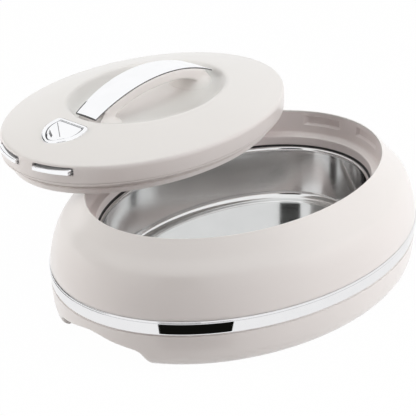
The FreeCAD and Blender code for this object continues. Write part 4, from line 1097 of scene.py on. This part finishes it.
def bezel_mesh(lid, size):
    """The frame round the button: a rounded ring whose inner side falls steeply.  The faces
    along the button's straight edge are marked to wear black: a painted shade line."""
    inner, outer = lid.button_gap - 1.3 * MM, lid.button_gap + lid.bezel_wide
    foot, top, corner = -4.7 * MM, 0.9 * MM, 1.5 * MM
    ridge = lid.button_gap + lid.bezel_wide * 0.6
    steps = ((inner, foot), (inner, top - 1.1 * MM), (inner + 0.2 * MM, top - 0.35 * MM),
             (inner + 0.7 * MM, top), (ridge, top - 0.02 * MM),
             (outer - 0.3 * MM, top - 0.35 * MM), (outer, top - 1.0 * MM), (outer, foot))
    points = shield_layers(lid, [(grow, height, corner) for grow, height in steps])
    mesh = grid_mesh("button_frame", points[:, ::-1], "joined")
    centres = vectors_of(mesh.polygons, "center")
    # Top faces along the straight edge wear black: a painted shade line
    mark_faces(mesh, (centres[:, 0] > outer - 1.5 * MM) & (centres[:, 2] > -2 * MM))
    return place_on_dome(mesh, lid, size)


# ---------------------------------------------------------------- the latches

def eased_copy(node, name, width):
    """A copy of a CAD piece whose edges are rounded a little."""
    return modified_mesh(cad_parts[node].data.copy(), name,
                         ("WELD", {"merge_threshold": 0.01 * MM}),
                         ("BEVEL", {"width": width, "segments": 3, "limit_method": "ANGLE",
                                    "angle_limit": math.radians(40)}))


def drooped(mesh, lid):
    """Slopes the tongues of a latch: outside the cover their tops fall, the higher a point lies
    the more."""
    droop_start, droop_run = 138 * MM, 8 * MM
    points = vectors_of(mesh.vertices, "co")
    out = points - np.array(lid_place())
    along = np.abs(out[:, 0] * math.cos(lid.turn) + out[:, 1] * math.sin(lid.turn))
    low, high = points[:, 2].min(), points[:, 2].max()
    tongue = np.clip((along - droop_start) / droop_run, 0, 1)
    points[:, 2] -= lid.tongue_droop * tongue * (points[:, 2] - low) / (high - low)
    mesh.vertices.foreach_set("co", points.ravel())
    mesh.update()
    return mesh


# ---------------------------------------------------------------- operators

# Plain inner pieces by the finish they wear
WORN_BY = {
    "rubber_and_painted_shade": ("foot_pads", "pot_seal"),
    "silicone": ("lid_seal",),
    "foam": ("casing_insulation", "lid_insulation"),
    "collar plastic": ("collar_pillars",),
    "acetal": ("latch_rocker", "latch_deck"),
    "zinc": ("bottom_screws", "handle_screws", "button_pin", "rocker_pin", "deck_screws",
             "latch_keepers", "button_spring", "front_latch_spring", "rear_latch_spring"),
}


class PieceOperator:
    """What every piece's operator shares."""
    bl_options = {"REGISTER", "UNDO"}


class CASSEROLE_OT_casing(PieceOperator, bpy.types.Operator):
    """Builds the two outer shells"""
    bl_idname = "casserole.casing"
    bl_label = "Outer shells"

    def execute(self, context):
        size = context.scene.casserole_base
        add_piece(casing_mesh(size), "base", ["outer_casing"], "shell plastic")
        add_piece(bottom_mesh(size), "base", ["bottom_shell"], "shell plastic")
        return {"FINISHED"}


class CASSEROLE_OT_band(PieceOperator, bpy.types.Operator):
    """Builds the chrome band round the belly"""
    bl_idname = "casserole.band"
    bl_label = "Chrome band"

    def execute(self, context):
        mesh = band_mesh(context.scene.casserole_base)
        add_piece(mesh, "base", ["chrome_band"], "band plate")
        return {"FINISHED"}


class CASSEROLE_OT_collar(PieceOperator, bpy.types.Operator):
    """Builds the inner collar with its ledge and pockets"""
    bl_idname = "casserole.collar"
    bl_label = "Inner collar"

    def execute(self, context):
        mesh = collar_mesh(context.scene.casserole_base)
        add_piece(mesh, "base", ["inner_collar"], "collar plastic", 50)
        return {"FINISHED"}


class CASSEROLE_OT_pot(PieceOperator, bpy.types.Operator):
    """Builds the polished steel pot"""
    bl_idname = "casserole.pot"
    bl_label = "Steel pot"

    def execute(self, context):
        mesh = pot_mesh(context.scene.casserole_base)
        add_piece(mesh, "base", ["steel_pot"], "polished steel", 50)
        return {"FINISHED"}


class CASSEROLE_OT_lid(PieceOperator, bpy.types.Operator):
    """Builds the lid's cover and its tray"""
    bl_idname = "casserole.lid"
    bl_label = "Lid shells"

    def execute(self, context):
        size, lid = context.scene.casserole_base, context.scene.casserole_lid
        add_piece(cover_mesh(lid, size), "lid", ["lid_cover"], "shell plastic", 40)
        add_piece(liner_mesh(lid, size), "lid", ["lid_liner"], "shell plastic")
        return {"FINISHED"}


class CASSEROLE_OT_handle(PieceOperator, bpy.types.Operator):
    """Builds the handle and its chrome strip"""
    bl_idname = "casserole.handle"
    bl_label = "Handle"

    def execute(self, context):
        lid = context.scene.casserole_lid
        add_piece(handle_mesh(lid), "lid", ["handle"], "shell plastic", 60)
        # The strip's marked sides and ends wear the dark chrome of painted shade
        add_piece(trim_mesh(lid), "lid", ["handle_trim"], "chrome plate",
                  second="painted edge shade")
        return {"FINISHED"}


class CASSEROLE_OT_button(PieceOperator, bpy.types.Operator):
    """Builds the release button and its frame"""
    bl_idname = "casserole.button"
    bl_label = "Release button"

    def execute(self, context):
        size, lid = context.scene.casserole_base, context.scene.casserole_lid
        add_piece(button_mesh(lid, size), "button", ["release_button"],
                  "chrome plate", 30)
        # The beads wear dark chrome: painted shade of the crease and ribs
        add_piece(button_lines(lid, size), "button", [], "painted edge shade")
        # The bezel's marked faces wear black: a painted shade line along the straight edge
        add_piece(bezel_mesh(lid, size), "lid", ["button_bezel"],
                  "chrome plate", 45, "rubber_and_painted_shade")
        return {"FINISHED"}


class CASSEROLE_OT_latches(PieceOperator, bpy.types.Operator):
    """Builds both latches with eased edges"""
    bl_idname = "casserole.latches"
    bl_label = "Latches"

    def execute(self, context):
        lid = context.scene.casserole_lid
        for node in ("front_latch", "rear_latch"):
            mesh = drooped(eased_copy(node, node + "_plated", 0.5 * MM), lid)
            add_piece(mesh, node, [node], "chrome plate")
        return {"FINISHED"}


class CASSEROLE_OT_works(PieceOperator, bpy.types.Operator):
    """Gives the plain inner pieces their finish"""
    bl_idname = "casserole.works"
    bl_label = "Inner works"

    def execute(self, context):
        for name, nodes in WORN_BY.items():
            for node in nodes:
                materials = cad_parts[node].data.materials
                materials.clear()
                materials.append(finishes()[name])
        return {"FINISHED"}


# ---------------------------------------------------------------- studio

# The camera: degrees round from the front and above level, metres away, focal length, shift
VIEW_AZIMUTH, VIEW_HEIGHT = -47.25, 24.79
VIEW_DISTANCE = 1.5435
VIEW_LENS = 155.16
VIEW_SHIFT = (-0.0710, -0.0927)
CARD_DISTANCE = 2.2
# Corners of the black card that lies just over the floor and darkens a stretch of the band
BAND_CARD = ((-0.180, -0.072, 0.003), (-0.244, -0.100, 0.003), (-0.143, -0.191, 0.003),
             (-0.124, -0.125, 0.003))
FLOOR_REACH = 15
# How much of the floor is plain white to the eye; the rest shows light and shadow
FLOOR_GLOW = 0.985


def view_direction(azimuth, elevation):
    """The direction at a turn from the camera's side and a height angle, both in degrees."""
    a = math.radians(VIEW_AZIMUTH) + math.radians(azimuth)
    e = math.radians(elevation)
    return Vector((math.sin(a) * math.cos(e), -math.cos(a) * math.cos(e), math.sin(e)))


def from_view(azimuth, elevation, distance):
    """The place at a distance in that direction from a point inside the base."""
    return Vector((0, 0, 0.05)) + distance * view_direction(azimuth, elevation)


def stage_sheet(name, corners, material, hidden=False):
    """A flat sheet with four corners; a hidden one shows in metal and gloss alone."""
    mesh = bpy.data.meshes.new(name)
    mesh.from_pydata([tuple(corner) for corner in corners], [], [(0, 1, 2, 3)])
    mesh.materials.append(material)
    sheet = placed(name, mesh)
    if hidden:
        sheet.visible_camera = False
        sheet.visible_diffuse = False
        sheet.visible_shadow = False


def standing_card(name, first, last, low, high, material):
    """A hidden card between two turns from the camera's side and two height angles."""
    corners = [from_view(azimuth, elevation, CARD_DISTANCE) for azimuth, elevation in
               ((first, low), (last, low), (last, high), (first, high))]
    stage_sheet(name, corners, material, hidden=True)


def floor_material():
    """White floor: matt where light falls on it, mostly plain white to the eye and to metal."""
    shade = new_shade("studio floor")
    matt = shade.node("ShaderNodeBsdfDiffuse", None, {"Color": (0.92, 0.92, 0.92, 1)})
    return shade.close(shade.mixed(shade.seen_rays() * FLOOR_GLOW, matt, shade.glow((1, 1, 1))))


def card_material(name, shown):
    """Dark studio card of one even colour."""
    shade = new_shade(name)
    return shade.close(shade.glow(shown))


def studio_world():
    """White to the eye and to metal, a faint warm light to all else."""
    shade = Shade(bpy.data.worlds.new("studio"), "ShaderNodeOutputWorld")
    lit, shown = (shade.node("ShaderNodeBackground", None, {"Color": shine, "Strength": strength})
                  for shine, strength in (((1.0, 0.45, 0.42, 1), 0.1), ((1, 1, 1, 1), 1.0)))
    bpy.context.scene.world = shade.close(shade.mixed(shade.seen_rays(), lit, shown))


def soft_lamp(name, place, target, wide, high, power, shine):
    """A large soft lamp aimed at a point, which metal doesn't show."""
    data = bpy.data.lights.new(name, "AREA")
    data.shape = "RECTANGLE"
    data.size, data.size_y = wide, high
    data.energy = power
    data.color = shine
    lamp = placed(name, data)
    lamp.visible_glossy = False
    lamp.location = place
    lamp.rotation_euler = (Vector(target) - Vector(place)).to_track_quat("-Z", "Y").to_euler()


def add_camera(rim_height):
    """The camera, level, looking at the middle of the mouth."""
    data = bpy.data.cameras.new("view")
    data.lens = VIEW_LENS
    data.sensor_width = 36
    data.shift_x, data.shift_y = VIEW_SHIFT
    data.clip_end = 50
    camera = placed("view", data)
    back = view_direction(0, VIEW_HEIGHT)
    camera.location = Vector((0, 0, rim_height)) + back * VIEW_DISTANCE
    camera.rotation_euler = back.to_track_quat("Z", "Y").to_euler()
    bpy.context.scene.camera = camera


class CASSEROLE_OT_stage(bpy.types.Operator):
    """Sets the floor, the lamps, the cards and the camera"""
    bl_idname = "casserole.stage"
    bl_label = "Studio"

    def execute(self, context):
        corners = [(x * FLOOR_REACH, y * FLOOR_REACH, 0)
                   for x, y in ((-1, -1), (1, -1), (1, 1), (-1, 1))]
        stage_sheet("studio_floor", corners, floor_material())
        black = card_material("black card", (0.006, 0.006, 0.005))
        green = card_material("green card", (0.013, 0.021, 0.021))
        stage_sheet("card_floor", BAND_CARD, black, hidden=True)
        standing_card("card_front", -18, 9, 15, 38, black)
        for number, turns in enumerate(((-62, -90), (-90, -118), (-118, -146))):
            standing_card(f"card_left_{number}", *turns, 16, 40, green)
        studio_world()
        middle = (0, 0, 0.08)
        # Where each lamp stands, what it is aimed at, its two sides, its watts and its colour
        for name, place, target, wide, high, power, shine in (
                ("top", (0.05, 0.0, 1.5), (0, 0.03, 0.1), 1.6, 1.2, 11.2, (0.89, 1, 0.985)),
                ("left", from_view(-86, 25, 1.5), middle, 1.0, 0.9, 10.9, (1, 0.98, 0.965)),
                ("right", from_view(80, 25, 1.5), middle, 1.0, 0.9, 13.8, (1, 0.975, 0.975)),
                ("back", from_view(180, 30, 1.6), middle, 1.4, 0.9, 3.6, (1, 1, 1))):
            soft_lamp("lamp_" + name, place, target, wide, high, power, shine)
        add_camera(context.scene.casserole_base.rim_height)
        context.scene.view_settings.view_transform = "Standard"
        return {"FINISHED"}


class CASSEROLE_PT_panel(bpy.types.Panel):
    """Lists the casserole's pieces"""
    bl_idname = "CASSEROLE_PT_panel"
    bl_label = "Casserole"
    bl_space_type = "VIEW_3D"
    bl_region_type = "UI"
    bl_category = "Casserole"

    def draw(self, context):
        for operator in OPERATORS:
            self.layout.operator(operator.bl_idname)


GROUPS = (("casserole_base", CasseroleBaseSizes), ("casserole_lid", CasseroleLidSizes),
          ("casserole_colours", CasseroleColours))
OPERATORS = (CASSEROLE_OT_casing, CASSEROLE_OT_band, CASSEROLE_OT_collar, CASSEROLE_OT_pot,
             CASSEROLE_OT_lid, CASSEROLE_OT_handle, CASSEROLE_OT_button, CASSEROLE_OT_latches,
             CASSEROLE_OT_works, CASSEROLE_OT_stage)


def register():
    """Registers the classes and hangs the sizes and colours on the scene."""
    for name, group in GROUPS:
        bpy.utils.register_class(group)
        setattr(bpy.types.Scene, name, bpy.props.PointerProperty(type=group))
    for operator in OPERATORS:
        bpy.utils.register_class(operator)
    bpy.utils.register_class(CASSEROLE_PT_panel)


def unregister():
    """Takes everything away again."""
    bpy.utils.unregister_class(CASSEROLE_PT_panel)
    for operator in reversed(OPERATORS):
        bpy.utils.unregister_class(operator)
    for name, group in reversed(GROUPS):
        delattr(bpy.types.Scene, name)
        bpy.utils.unregister_class(group)


def main():
    """Builds every piece in order."""
    register()
    for operator in OPERATORS:
        family, verb = operator.bl_idname.split(".")
        getattr(getattr(bpy.ops, family), verb)()


if __name__ == "__main__":
    main()
